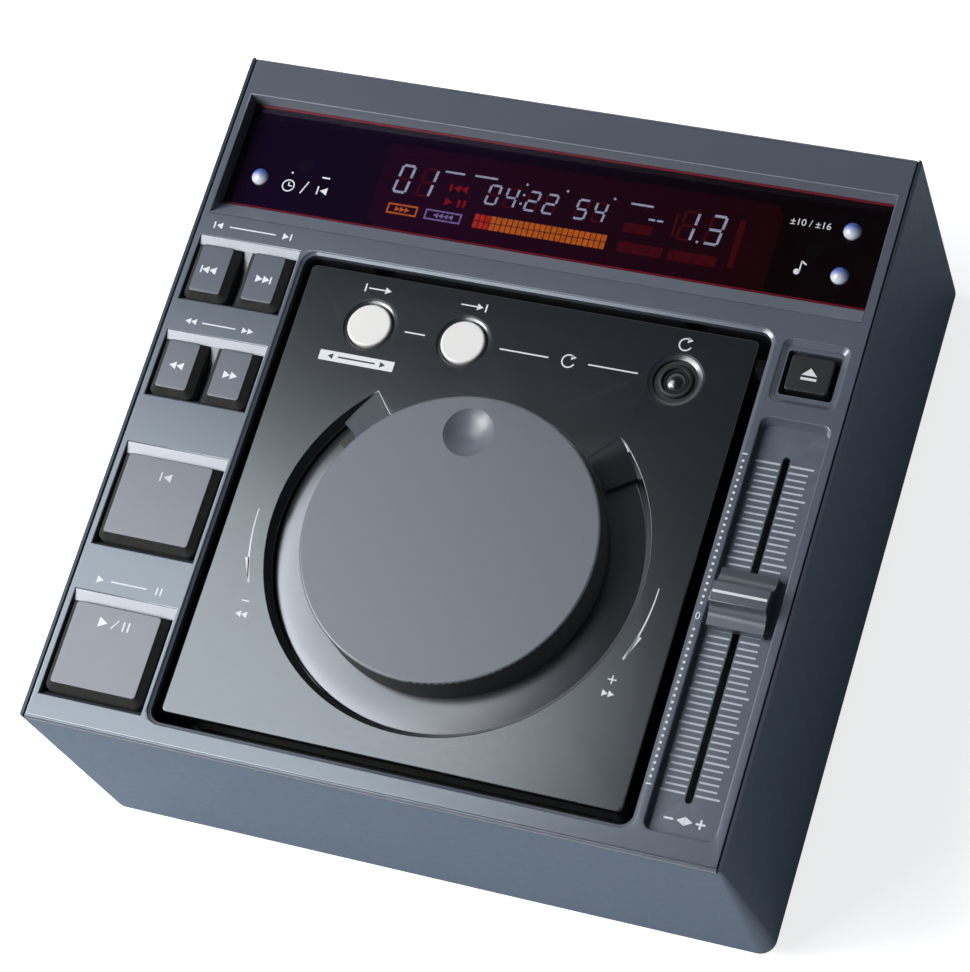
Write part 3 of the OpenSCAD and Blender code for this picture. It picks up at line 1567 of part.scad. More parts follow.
module mains_inlet() {
    half_w = inlet_w / 2;
    half_h = inlet_h / 2;
    color([0.08, 0.08, 0.08])
    translate([inlet_at[0], 0, inlet_at[1]]) {
        difference() {
            block([-half_w + 0.2, half_w - 0.2], [y_rear - inlet_l, y_rear - 0.2],
                [-half_h + 0.2, half_h - 0.2]);
            block([-half_w + 2.5, half_w - 2.5], [y_rear - inlet_l + 3, y_rear + 1],
                [-half_h + 3, half_h - 3]);
        }
        for (x = [-7, 0, 7])
            block([x - 1, x + 1], [y_rear - inlet_l + 2, y_rear - 3],
                [x == 0 ? 0 : -3, x == 0 ? 4 : 1]);
    }
}

module power_switch() {
    half_w = power_switch_w / 2;
    half_h = power_switch_h / 2;
    color([0.08, 0.08, 0.08])
    translate([switch_at[0], 0, switch_at[1]])
        difference() {
            block([-half_w + 0.2, half_w - 0.2], [y_rear - 16, y_rear - 0.2], [-half_h + 0.2, half_h - 0.2]);
            block([-half_w + 1.6, half_w - 1.6], [y_rear - 9, y_rear + 1], [-half_h + 1.6, half_h - 1.6]);
            translate([-half_w, rocker_y, 0])
                rotate([0, 90, 0])
                    cylinder(r = rocker_pin_r + run_fit, h = 2 * half_w);
        }
}

rocker_y = y_rear - 5.5;
rocker_pin_r = 1;

// Rocker, tipped to one side at rest
module power_rocker() {
    half_w = power_switch_w / 2 - 1.6 - pass_gap;
    half_h = power_switch_h / 2 - 1.6 - pass_gap - 0.9;
    face = y_rear - rocker_y - 1.4;
    color([0.12, 0.12, 0.12])
    translate([switch_at[0], rocker_y, switch_at[1]]) {
        rotate([-rocker_swing, 0, 0])
            along_x([-half_w, half_w], [[-1.6, 1.6], [face - 0.6, half_h], [face, half_h - 0.8], [face - 0.5, 0],
                [face, -half_h + 0.8], [face - 0.6, -half_h], [-1.6, -1.6]]);
        translate([-power_switch_w / 2 + 0.6, 0, 0])
            rotate([0, 90, 0])
                cylinder(r = rocker_pin_r, h = power_switch_w - 1.2);
    }
}

lower_case();
bottom_plate();
feet();
case_screws();
top_panel();
display_window();
display_module();
display_board();
key_board();
disc_well();
traverse_chassis();
traverse_dampers();
spindle_motor();
guide_rods();
sled_motor();
main_board();
power_transformer();
power_board();
audio_sockets();
control_socket();
mains_inlet();
power_switch();
hinge_brackets();
hinge_pins();
lid_springs();
lid_latch();
fader_body();
lid_shell();
lid_liner();
hinge_arms();
jog_bush();
jog_sensor_board();
loop_board();
jog_platter();
jog_ring();
jog_shaft();
encoder_disc();
in_button();
out_button();
reloop_button();
clamp_puck();
lid_key();
time_button();
tempo_range_button();
master_tempo_button();
track_back_key();
track_forward_key();
search_back_key();
search_forward_key();
cue_key();
play_key();
slider_cap();
fader_lever();
turntable_hub();
pickup_sled();
objective_lens();
drive_gear();
motor_pinion();
power_rocker();
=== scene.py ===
import json
import math
import bmesh
import bpy
from mathutils import Matrix, Vector
from mathutils.geometry import delaunay_2d_cdt


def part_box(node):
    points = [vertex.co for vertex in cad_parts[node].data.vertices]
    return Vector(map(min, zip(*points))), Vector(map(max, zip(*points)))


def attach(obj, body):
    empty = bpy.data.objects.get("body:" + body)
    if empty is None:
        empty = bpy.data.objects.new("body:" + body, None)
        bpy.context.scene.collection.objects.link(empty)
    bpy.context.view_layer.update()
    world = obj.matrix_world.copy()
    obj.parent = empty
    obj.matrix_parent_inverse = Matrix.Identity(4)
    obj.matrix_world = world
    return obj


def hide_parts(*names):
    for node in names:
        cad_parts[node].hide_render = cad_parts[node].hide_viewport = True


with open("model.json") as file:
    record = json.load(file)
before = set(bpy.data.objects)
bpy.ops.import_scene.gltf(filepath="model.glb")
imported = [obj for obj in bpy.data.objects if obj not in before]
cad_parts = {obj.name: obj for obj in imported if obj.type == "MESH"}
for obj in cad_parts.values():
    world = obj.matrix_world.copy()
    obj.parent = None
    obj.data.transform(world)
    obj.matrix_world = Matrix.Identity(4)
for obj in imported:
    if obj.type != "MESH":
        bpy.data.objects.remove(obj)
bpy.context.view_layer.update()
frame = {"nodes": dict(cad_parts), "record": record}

# Looks of the top-loading disc player. Places are written in millimetres in the frame of the packed
# model and turned into metres where an object is made. The player's front faces -Y.
MM = 0.001
SLOT = {row["node"]: row["material_slot"] for row in frame["record"]["subparts"]}
BODY = {node: body for body, nodes in frame["record"]["behaviour"]["bodies"].items()
        for node in nodes}


def corners(node):
    """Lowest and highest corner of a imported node, in mm."""
    low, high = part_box(node)
    return Vector(low) / MM, Vector(high) / MM


def middle(node):
    """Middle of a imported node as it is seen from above, in mm."""
    low, high = corners(node)
    return ((low + high) / 2).to_2d()


def top(node):
    return corners(node)[1].z


TOP = top("top_panel")            # face of the panel, and of the lid
WINDOW_TOP = top("display_window")
JOG = middle("jog_ring")


# ---------- colours and materials ----------

# Scales of noise, in features per metre. Metal takes the calm one: finer gloss gives it specks.
CLOUD, CALM, SCUFF, GLOSS, GROOVE, GRAIN = 38, 60, 160, 420, 900, 2600
HAZE, SMEAR, VEIL, POLISH = 25, 120, 500, 700
GLOSS_SWING = 0.06                # share by which the roughness of a surface changes
EVEN = 0.03                       # share by which the colour of an even paint changes
BUMP_DEPTH = 0.012                # of moulded plastic, mm
# Painted light: between these, faces turn to a paint's front colour, as if lit from the front.
FRONT_LIGHT_TURN = (-0.95, -0.6)        # Y of the direction of a wholly front face, and of none
EDGE_RANGE = (0.51, 0.58)         # pointiness: where wear starts, and where it is full
RUBBED = (1.9, 0.03)              # gain and lift of the colour where an edge is worn
GLINT, GLINT_RANGE = 1.15, (0.5, 0.75)      # gain of the bright grain, and its part of the noise
# the dark flanks of a two-tone piece are partly painted shade
FLANK_ROUGH = 0.95                # roughness of the dark flanks of a two-tone piece
DOME_TURN = (-0.55, 0.3)          # Y of the direction where a dome's colour starts and ends to turn
DOME_ROUGH = (0.1, 0.18)
TINT_X = (-60, 70)                # a pane's tint changes between these places along X
SMEARED = (0.7, 1.5)              # gains of its roughness
WHITE, BLACK = (1, 1, 1, 1), (0, 0, 0, 1)
COOL = (0.78, 0.9, 1.0, 1)        # paints mirror the lamps a little bluish
MATERIALS = {}


def rgb(r, g, b):
    """Linear colour from the 0 to 255 numbers of a screen colour, by the sRGB curve."""
    def linear(v):
        v /= 255
        return v / 12.92 if v <= 0.04045 else ((v + 0.055) / 1.055) ** 2.4
    return (linear(r), linear(g), linear(b), 1.0)


def toned(colour, gain, lift=0.0):
    """The same colour, lighter or darker."""
    return tuple(min(1, c * gain + lift) for c in colour[:3]) + (1,)


def fill(node, inputs):
    """Gives inputs of a node their value, or the output of another node."""
    for name, value in inputs.items():
        if isinstance(value, bpy.types.NodeSocket):
            node.id_data.links.new(value, node.inputs[name])
        else:
            node.inputs[name].default_value = value


def add(tree, kind, inputs=None, **settings):
    node = tree.nodes.new("ShaderNode" + kind)
    for name, value in settings.items():
        setattr(node, name, value)
    fill(node, inputs or {})
    return node


def empty_material(name):
    material = bpy.data.materials.new(name)
    material.use_nodes = True
    material.node_tree.nodes.clear()
    return material, material.node_tree


def shaded(name):
    """Adds a material; gives its tree, its shader, and the place on the model in metres."""
    MATERIALS[name], tree = empty_material(name)
    shader = add(tree, "BsdfPrincipled")
    add(tree, "OutputMaterial", {"Surface": shader.outputs["BSDF"]})
    return tree, shader, add(tree, "TexCoord").outputs["Object"]


def maths(tree, operation, *values):
    return add(tree, "Math", dict(enumerate(values)), operation=operation).outputs[0]


def axis(tree, vector, name):
    """One coordinate of a vector."""
    return add(tree, "SeparateXYZ", {0: vector}).outputs[name]


def facing(tree, name):
    """One coordinate of the direction that the surface faces."""
    return axis(tree, add(tree, "TexCoord").outputs["Normal"], name)


def noise(tree, place, scale, detail, stretch=None):
    if stretch:
        place = add(tree, "Mapping", {"Vector": place, "Scale": stretch}).outputs["Vector"]
    return add(tree, "TexNoise",
               {"Vector": place, "Scale": scale, "Detail": detail}).outputs["Fac"]


def spread(tree, value, low, high, start=0.3, end=0.7):
    """Maps start to end onto low to high. Where they aren't given, they are a noise's reach."""
    return add(tree, "MapRange", {"Value": value, "From Min": start, "From Max": end,
                                  "To Min": low, "To Max": high}).outputs["Result"]


def uneven(tree, place, scale, detail, value, swing):
    """A value that changes softly by a share of itself."""
    return spread(tree, noise(tree, place, scale, detail), value * (1 - swing), value * (1 + swing))


def blend(tree, factor, a, b):
    """Mixes two colours; each is a colour or a socket."""
    node = add(tree, "Mix", data_type="RGBA")
    for name, value in (("Factor", factor), ("A", a), ("B", b)):
        spot = next(i for i, s in enumerate(node.inputs) if s.name == name and s.enabled)
        fill(node, {spot: value})
    return next(s for s in node.outputs if s.enabled)


def bumps(tree, height, depth):
    """Fine bumps, of a depth in mm."""
    return add(tree, "Bump",
               {"Height": height, "Strength": 0.5, "Distance": depth * MM}).outputs["Normal"]


def moulded(name, colour, rough, grain=GRAIN, bump=BUMP_DEPTH, vary=0.10, wear=0.0, coat=0.0,
            metal=0.0, stretch=None, spec=0.5, tint=WHITE, front=None, patch=GLOSS):
    """Painted or moulded plastic: fine grain, soft changes of colour and gloss, rubbed edges,
    painted front light.
    """
    tree, shader, place = shaded(name)
    dust = noise(tree, place, grain, 2, stretch)
    cloud = spread(tree, noise(tree, place, CLOUD, 3), 0, 1)
    base = blend(tree, cloud, toned(colour, 1 - vary), toned(colour, 1 + vary))
    # painted light: faces towards the front take the front colour, lit more than the sides
    if front:
        base = blend(tree, spread(tree, facing(tree, "Y"), 1, 0, *FRONT_LIGHT_TURN), base, front)
    if wear:
        edge = add(tree, "NewGeometry").outputs["Pointiness"]
        patchy = maths(tree, "MULTIPLY", spread(tree, edge, 0, wear, *EDGE_RANGE),
                       spread(tree, noise(tree, place, SCUFF, 4), 0.2, 1))
        base = blend(tree, patchy, base, toned(colour, *RUBBED))
    fill(shader, {"Base Color": base, "Metallic": metal, "Coat Weight": coat, "Coat Roughness": 0.2,
                  "Roughness": uneven(tree, place, patch, 4, rough, GLOSS_SWING),
                  "Specular IOR Level": spec, "Specular Tint": tint,
                  "Normal": bumps(tree, dust, bump)})


def two_tone_and_shade(name, face, flank, rough, spec, start=0.9, end=0.97):
    """Light upper face over dark flanks, partly painted shade. A surface is dark up to start, in Z
    of its direction.
    """
    tree, shader, place = shaded(name)
    dust = noise(tree, place, GRAIN, 2)
    grained = blend(tree, spread(tree, dust, 0, 0.5, *GLINT_RANGE), face, toned(face, GLINT))
    # painted shade: surfaces that face sideways or down take the dark flank colour
    up = spread(tree, facing(tree, "Z"), 0, 1, start, end)
    gloss = maths(tree, "MULTIPLY", uneven(tree, place, GLOSS, 4, 1, GLOSS_SWING),
                  spread(tree, up, FLANK_ROUGH, rough, 0, 1))
    fill(shader, {"Base Color": blend(tree, up, flank, grained), "Roughness": gloss,
                  "Specular IOR Level": spec, "Normal": bumps(tree, dust, BUMP_DEPTH)})


def domed(name, front, rear):
    """Polished cap whose colour turns from the front to the rear of its dome."""
    tree, shader, place = shaded(name)
    veil = blend(tree, spread(tree, noise(tree, place, VEIL, 2), 0, 0.15), front, rear)
    turn = spread(tree, facing(tree, "Y"), 0, 1, *DOME_TURN)
    fill(shader, {"Base Color": blend(tree, turn, veil, rear), "Coat Weight": 0.5,
                  "Roughness": spread(tree, noise(tree, place, POLISH, 3), *DOME_ROUGH)})


def turned(name, colour, rough):
    """Satin ring with the fine round grooves of a lathe, so that light fans out over it."""
    tree, shader, place = shaded(name)
    fine = spread(tree, noise(tree, place, GROOVE, 3), 0, 1)
    grooves = add(tree, "Tangent", direction_type="RADIAL", axis="Z")
    fill(shader, {"Base Color": blend(tree, fine, toned(colour, 0.98), colour),
                  "Roughness": uneven(tree, place, CALM, 2, rough, 0.04),
                  "Metallic": 0.85, "Anisotropic": 0.8, "Specular IOR Level": 0.6,
                  "Tangent": grooves.outputs["Tangent"]})


def glowing(name, colour, strength, body=None):
    """Glowing part of the display: its own light comes in fine cells. On unlit parts the glow is
    painted light.
    """
    tree, shader, place = shaded(name)
    cells = spread(tree, noise(tree, place, GROOVE, 1), 0, 0.35)
    fill(shader, {"Base Color": body or colour, "Roughness": 0.6, "Emission Strength": strength,
                  "Emission Color": blend(tree, cells, colour, rgb(20, 10, 14))})


def smoked(name, left, right, alpha, rough):
    """See-through pane whose tint changes from left to right."""
    tree, shader, place = shaded(name)
    across = spread(tree, axis(tree, place, "X"), 0, 1, TINT_X[0] * MM, TINT_X[1] * MM)
    haze = spread(tree, noise(tree, place, HAZE, 3), 0, 0.2)
    fill(shader, {"Base Color": blend(tree, haze, blend(tree, across, left, right), BLACK),
                  "Roughness": spread(tree, noise(tree, place, SMEAR, 3),
                                      *(rough * gain for gain in SMEARED)),
                  "Alpha": alpha, "Specular IOR Level": 0.35})


# paints
# the lighter, bluer front colour of the case is painted light from the front
moulded("case_paint", rgb(61, 80, 103), 0.45, vary=EVEN, wear=0.06, tint=COOL,
        front=rgb(68, 98, 126))
moulded("panel_paint", rgb(85, 91, 103), 0.25, vary=EVEN, wear=0.35, spec=1.0, coat=0.5, tint=COOL)
moulded("lid_paint", rgb(11, 13, 17), 0.2, vary=EVEN, wear=0.3, spec=1.0, coat=0.9, tint=COOL)
# lighter than the panel: painted highlight on the recess ramps
moulded("ramp_highlight_paint", rgb(104, 109, 118), 0.34, vary=EVEN, spec=1.0, coat=0.4, metal=0.3)
# lighter than the panel: painted highlight on the window frame's lit walls
moulded("frame_highlight_paint", rgb(132, 142, 156), 0.34, vary=EVEN, spec=0.8, tint=COOL)
moulded("dish_paint", rgb(42, 46, 52), 0.24, vary=EVEN, spec=1.0, coat=1.0, metal=0.3)
moulded("rim_paint", rgb(46, 51, 60), 0.4, vary=EVEN, tint=COOL)
# lighter than the lid: painted light on the left shelf, which tilts to the lamps
moulded("shelf_paint", rgb(34, 37, 42), 0.5, vary=EVEN, tint=COOL)
# plastics
moulded("black_plastic", rgb(24, 25, 28), 0.45, wear=0.25)
moulded("key_black", rgb(20, 21, 24), 0.34, wear=0.3)
moulded("gloss_black", rgb(20, 22, 26), 0.2, vary=EVEN, spec=1.0, coat=1.0, metal=0.1)
moulded("white_plastic", rgb(228, 227, 226), 0.3, vary=EVEN, bump=0.004)
moulded("rubber", rgb(26, 26, 27), 0.8, bump=0.03)
moulded("knob", rgb(104, 111, 120), 0.28, grain=400, bump=0.001, vary=EVEN, spec=1.0, coat=0.6,
        metal=0.6, patch=CALM)
# keys: grey tops over black bodies; their near-black flanks are painted shade besides
two_tone_and_shade("key_two_tone", rgb(86, 92, 105), rgb(2, 2, 3), 0.25, 0.9)
# platter: its sides are painted dark, painted shade
two_tone_and_shade("platter_plastic", rgb(97, 103, 113), rgb(28, 30, 34), 0.36, 0.8, start=0.3, end=0.45)
turned("ring_plastic", rgb(106, 109, 114), 0.3)
domed("dot_plastic", rgb(228, 232, 240), rgb(84, 110, 190))
# print
for grade, ink in (("print", rgb(222, 226, 232)), ("print_mid", rgb(184, 189, 198)),
                   ("print_dim", rgb(200, 200, 212))):
    moulded(grade, ink, 0.5, vary=0.04, bump=0.004)
# metals and boards
moulded("steel", rgb(188, 190, 194), 0.28, metal=1.0, stretch=(1, 1, 0.05))
moulded("sheet_steel", rgb(168, 170, 172), 0.42, metal=1.0, grain=420, vary=0.16)
moulded("brass", rgb(214, 178, 104), 0.25, metal=1.0)
moulded("transformer", rgb(92, 90, 88), 0.5, metal=0.4, stretch=(1, 0.05, 1))
moulded("board", rgb(28, 92, 62), 0.4, vary=0.14)
# display
# the display's face glows faintly red: painted light, the red haze in the window
glowing("display", rgb(170, 26, 46), 0.28, rgb(60, 14, 24))
glowing("glow_white", rgb(205, 214, 245), 6.5)
glowing("glow_orange", rgb(255, 128, 30), 6)
glowing("glow_amber", rgb(255, 66, 18), 5)
glowing("glow_red", rgb(214, 30, 24), 4.2)
glowing("glow_lilac", rgb(176, 150, 232), 5)
# unlit figures glow dimly red: painted light
glowing("unlit_red_painted_glow", rgb(120, 16, 16), 3.2, rgb(44, 10, 12))
smoked("window", rgb(22, 5, 33), rgb(12, 0, 4), 0.74, 0.06)
smoked("lens", rgb(120, 130, 215), rgb(120, 130, 215), 0.7, 0.03)
# red strips on the window's edges: painted glints
moulded("rim_red_glint", rgb(110, 10, 26), 0.2, bump=0.003)

# The record's slot of each material that isn't named after one.
SLOT_OF = {material: slot for slot, materials in {
    "case_paint": ("rim_paint",),
    "panel_paint": ("ramp_highlight_paint", "frame_highlight_paint"),
    "lid_paint": ("dish_paint", "shelf_paint"),
    "white_plastic": ("print", "print_mid", "print_dim"),
    "display": ("glow_white", "glow_orange", "glow_amber", "glow_red", "glow_lilac", "unlit_red_painted_glow"),
    "window": ("rim_red_glint",),
}.items() for material in materials}


# ---------- mesh helpers ----------

FLAT = 0.999              # least Z of the direction of a flat face
LEVEL = 1e-5              # faces whose heights differ by less lie level, m
WELD = 2e-6               # corners closer than this become one, m
SMOOTH_ANGLE = 31         # degrees; an edge that bends more stays sharp
LATHE_ANGLE = 30          # the same for a solid of revolution
LEAST_REACH = 0.3         # keeps the rim of a very sharp corner short
KEEP_INSIDE, PRECISION = 1, 1e-9      # of the triangulation: what it keeps, and how finely, m
PRESSED = 0.05            # what is left of the run of a key's rear flank
LINEN = 0.03              # height of a printed mark over its surface, mm
SUNK = 0.05               # and its depth below it, mm
NUMBER_SIZE = 3.2         # of printed numbers, mm


def paint(obj, material):
    obj.data.materials.clear()
    obj.data.materials.append(MATERIALS[material])


def finish_object(obj, material, body, slot=None, replaces=()):
    slot = slot or SLOT_OF.get(material, material)
    paint(obj, material)
    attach(obj, body)
    if replaces:
        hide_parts(*replaces)


def linked(name, data):
    obj = bpy.data.objects.new(name, data)
    bpy.context.scene.collection.objects.link(obj)
    return obj


def from_bmesh(name, bm, smooth_angle=None):
    bmesh.ops.recalc_face_normals(bm, faces=bm.faces)
    mesh = bpy.data.meshes.new(name)
    if smooth_angle is not None:
        for face in bm.faces:
            face.smooth = True
        for edge in bm.edges:
            edge.smooth = edge.is_manifold and edge.calc_face_angle(0) < math.radians(smooth_angle)
    bm.to_mesh(mesh)
    bm.free()
    return linked(name, mesh)


def evaluated(obj):
    """Mesh of an object with its modifiers applied."""
    bpy.context.view_layer.update()
    graph = bpy.context.evaluated_depsgraph_get()
    return bpy.data.meshes.new_from_object(obj.evaluated_get(graph))


def copied(node):
    """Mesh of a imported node, with its doubled corners joined."""
    bm = bmesh.new()
    bm.from_mesh(frame["nodes"][node].data)
    bmesh.ops.remove_doubles(bm, verts=bm.verts, dist=WELD)
    return bm


def inside(x, y, sides):
    """Whether a point lies within an odd number of outlines, given as their sides."""
    odd = False
    for (ax, ay), (bx, by) in sides:
        if (ay > y) != (by > y) and x < ax + (y - ay) / (by - ay) * (bx - ax):
            odd = not odd
    return odd


def round_rim(bm, height, radius, steps=3):
    """Runs the flat face at a height into the walls below it over a small radius, in metres."""
    flat = [f for f in bm.faces
            if f.normal.z > FLAT and abs(f.calc_center_median().z - height) < LEVEL]
    chosen = set(flat)
    inward, sides = {}, []
    for edge in {e for f in flat for e in f.edges}:
        mine = [f for f in edge.link_faces if f in chosen]
        if len(mine) != 1:
            continue
        loop = next(l for l in edge.link_loops if l.face is mine[0])
        a, b = loop.vert, loop.link_loop_next.vert
        along = (b.co - a.co).normalized()
        for vert in (a, b):
            inward.setdefault(vert, []).append(Vector((-along.y, along.x, 0)))
        sides.append((a, b))
    above = {}
    for vert, ways in inward.items():
        total = sum(ways, Vector())
        reach = max(LEAST_REACH, total.length_squared / 2 if len(ways) == 2 else 1)
        offset = total / reach * radius
        above[vert] = []
        for i in range(1, steps + 1):
            t = math.pi / 2 * i / steps
            down = Vector((0, 0, radius * (1 - math.sin(t))))
            above[vert].append(bm.verts.new(vert.co + offset * (1 - math.cos(t)) - down))
    bmesh.ops.delete(bm, geom=flat, context="FACES_KEEP_BOUNDARY")
    for vert in above:
        vert.co.z -= radius
    for a, b in sides:
        left, right = [a] + above[a], [b] + above[b]
        for i in range(steps):
            bm.faces.new((left[i], right[i], right[i + 1], left[i + 1]))
    tops = [run[-1] for run in above.values()]
    place = {vert: i for i, vert in enumerate(above)}
    points = [Vector((v.co.x, v.co.y)) for v in tops]
    pairs = [(place[a], place[b]) for a, b in sides]
    flat_sides = [(tuple(points[a]), tuple(points[b])) for a, b in pairs]
    found, _, faces, origin, _, _ = delaunay_2d_cdt(points, pairs, [], KEEP_INSIDE, PRECISION)
    for face in faces:
        centre = sum((found[i] for i in face), Vector((0, 0))) / len(face)
        if inside(centre.x, centre.y, flat_sides) and all(origin[i] for i in face):
            corner = list(dict.fromkeys(tops[origin[i][0]] for i in face))
            if len(corner) > 2:
                bm.faces.new(corner)


def dressed(node, material, radius=None, rear=None):
    """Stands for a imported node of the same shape, shaded smoothly.

    With a radius in mm, the edge of its top face is rounded. With rear given, what reaches behind
    that place in Y is pressed together, so that the rear flank is steep.
    """
    bm = copied(node)
    if rear is not None:
        for vert in bm.verts:
            vert.co.y = min(vert.co.y, rear * MM + PRESSED * max(0, vert.co.y - rear * MM))
    if radius is not None:
        round_rim(bm, top(node) * MM, radius * MM)
    obj = from_bmesh(node + "_shape", bm, SMOOTH_ANGLE)
    obj.modifiers.new("shading", "WEIGHTED_NORMAL").keep_sharp = True
    made, old = evaluated(obj), obj.data
    obj.modifiers.clear()
    obj.data = made
    bpy.data.meshes.remove(old)
    finish_object(obj, material, BODY[node], SLOT[node], (node,))


def overlay(name, node, choose, material, body, lift=0.01, depth=0.03):
    """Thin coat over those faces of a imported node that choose(centre in mm, normal) picks."""
    bm = copied(node)
    others = [f for f in bm.faces if not choose(f.calc_center_median() / MM, f.normal)]
    bmesh.ops.delete(bm, geom=others, context="FACES")
    rim = [e.link_loops[0] for e in bm.edges if e.is_boundary]
    ends = [(loop.vert, loop.link_loop_next.vert) for loop in rim]
    lower = {v: bm.verts.new(v.co - v.normal * depth * MM) for v in list(bm.verts)}
    for face in list(bm.faces):
        bm.faces.new([lower[v] for v in reversed(face.verts)])
    for a, b in ends:
        bm.faces.new((b, a, lower[a], lower[b]))
    raised = {vert: vert.co + vert.normal * lift * MM for vert in lower}
    for vert, place in raised.items():
        vert.co = place
    finish_object(from_bmesh(name, bm, SMOOTH_ANGLE), material, body)


def metres(x, y, z):
    return (x * MM, y * MM, z * MM)


def solid(bm, first, last):
    """Closed solid between two outlines with equally many points, in metres."""
    a, b = ([bm.verts.new(point) for point in outline] for outline in (first, last))
    n = len(a)
    bm.faces.new(a[::-1])
    bm.faces.new(b)
    for i in range(n):
        bm.faces.new((a[i], a[(i + 1) % n], b[(i + 1) % n], b[i]))


def revolve(name, profile, at, n):
    """Solid of revolution about a vertical axis; the profile is a closed run of (r, z) points."""
    bm = bmesh.new()
    loops = [[bm.verts.new(metres(at[0] + r * math.cos(2 * math.pi * i / n),
                                  at[1] + r * math.sin(2 * math.pi * i / n), z))
              for i in range(n)] for r, z in profile]
    for a, b in zip(loops, loops[1:] + loops[:1]):
        for i in range(n):
            j = (i + 1) % n
            bm.faces.new((a[i], a[j], b[j], b[i]))
    return from_bmesh(name, bm, LATHE_ANGLE)


def marks(name, outlines, z, body, material="print", high=LINEN, low=-SUNK):
    """One piece made of printed shapes that lie on a surface at height z."""
    bm = bmesh.new()
    for outline in outlines:
        solid(bm, *([metres(x, y, level) for x, y in outline] for level in (z + low, z + high)))
    finish_object(from_bmesh(name, bm), material, body)


def lettered(name, text, at, z, body):
    """Plain numbers and signs, centred on a point."""
    curve = bpy.data.curves.new(name, "FONT")
    curve.body = text
    curve.size = NUMBER_SIZE * MM
    curve.align_x = "CENTER"
    curve.align_y = "CENTER"
    curve.extrude = LINEN / 2 * MM
    curve.resolution_u = 4
    text_object = linked(name, curve)
    mesh = evaluated(text_object)
    bpy.data.objects.remove(text_object)
    mesh.transform(Matrix.Translation(metres(*at, z + LINEN / 2)))
    finish_object(linked(name, mesh), "print", body)


# ---------- outlines, as (x, y) points in mm ----------

def bar(x0, y0, x1, y1):
    return [(x0, y0), (x1, y0), (x1, y1), (x0, y1)]


def upright(x, y, height, width=0.5):
    return bar(x - width / 2, y - height / 2, x + width / 2, y + height / 2)


def line(x0, x1, y, width=0.4):
    return bar(x0, y - width / 2, x1, y + width / 2)


def stroke(x0, y0, x1, y1, width):
    """Slanting line."""
    along = Vector((x1 - x0, y1 - y0)).normalized()
    side = Vector((-along.y, along.x)) * width / 2
    return [(x0 - side.x, y0 - side.y), (x1 - side.x, y1 - side.y), (x1 + side.x, y1 + side.y),
            (x0 + side.x, y0 + side.y)]


def triangle(x, y, size, way=1):
    """Arrowhead whose middle is at x, y; it points to +X for way 1 and to -X for way -1."""
    reach, half = way * size * 0.45, size * 0.5
    return [(x - reach, y - half), (x + reach, y), (x - reach, y + half)]


def arrows(x, y, size, way, count=2):
    """Row of arrowheads centred on x."""
    step = size * 0.95
    return [triangle(x + (i - (count - 1) / 2) * step, y, size, way) for i in range(count)]


def plus(x, y, size, width=0.4):
    return [line(x - size / 2, x - width / 2, y, width), upright(x, y, size, width),
            line(x + width / 2, x + size / 2, y, width)]


def disc(x, y, r, n):
    return [(x + r * math.cos(2 * math.pi * i / n), y + r * math.sin(2 * math.pi * i / n))
            for i in range(n)]


def arc(centre, r, start, end, widths, n):
    """Bent line whose width changes evenly from widths[0] to widths[1]; angles in degrees."""
    outer, inner = [], []
    for i in range(n + 1):
        t = i / n
        a = math.radians(start + (end - start) * t)
        half = (widths[0] + (widths[1] - widths[0]) * t) / 2
        outer.append((centre[0] + (r + half) * math.cos(a), centre[1] + (r + half) * math.sin(a)))
        inner.append((centre[0] + (r - half) * math.cos(a), centre[1] + (r - half) * math.sin(a)))
    return outer + inner[::-1]


def circle_line(x, y, r, width, start=0, end=359.5):
    """Round line; a whole circle is left open by a hair, so that it stays one outline."""
    return arc((x, y), r, start, end, (width, width), n=36)


def rounded(x, y, r, n):
    """Rectangle with round corners."""
    points = []
    for cx, cy, start in ((x[1] - r, y[1] - r, 0), (x[0] + r, y[1] - r, 90),
                          (x[0] + r, y[0] + r, 180), (x[1] - r, y[0] + r, 270)):
        for i in range(n + 1):
            a = math.radians(start + 90 * i / n)
            points.append((cx + r * math.cos(a), cy + r * math.sin(a)))
    return points


def frame_bars(x0, x1, y0, y1, width):
    """Outline of a box as four bars."""
    return [bar(x0, y0, x1, y0 + width), bar(x0, y1 - width, x1, y1),
            bar(x0, y0 + width, x0 + width, y1 - width),
            bar(x1 - width, y0 + width, x1, y1 - width)]


# ---------- camera, floor and light ----------

# The camera was fitted to the corners of the case in the photo.
EYE, EYE_TURN = (0.3698, -0.3626, 1.0639), (25.0362, 14.4303, 17.4285)      # metres, degrees
LENS, SENSOR = 139.197, 36
SHIFT = (0.0360, -0.0885)
CLIP = (0.05, 20)
DAY, WARM = (0.97, 0.99, 1.0), (1.0, 0.985, 0.96)
# Name, azimuth and elevation in degrees, distance, side, power, colour, place that it faces.
LAMPS = (("soft_left", -78, 60, 0.85, 0.55, 4.0, DAY, (-0.1, -0.1, 0.09)),
         ("key", -110, 38, 1.1, 0.5, 8.6, WARM, (0, 0, 0.09)),
         ("soft_front", -143, 54, 1.1, 0.4, 2.6, DAY, (-0.08, 0, 0.09)))
FLOOR_COLOUR, FLOOR_GLOW, FLOOR_MIRRORED = (0.85, 0.85, 0.85, 1), 0.78, 0.05
FLOOR_SIZE, FLOOR_Z = 6, -0.0002
SKY_COLOUR, SKY = (0.80, 0.88, 1.0, 1), 0.08      # light of the room on the object
BACK_WHITE = 0.97                                 # the backdrop behind it
WALL_SHARE, WALL_RANGE = 0.6, (0.42, 0.62)        # mirrors see low walls, up to this height

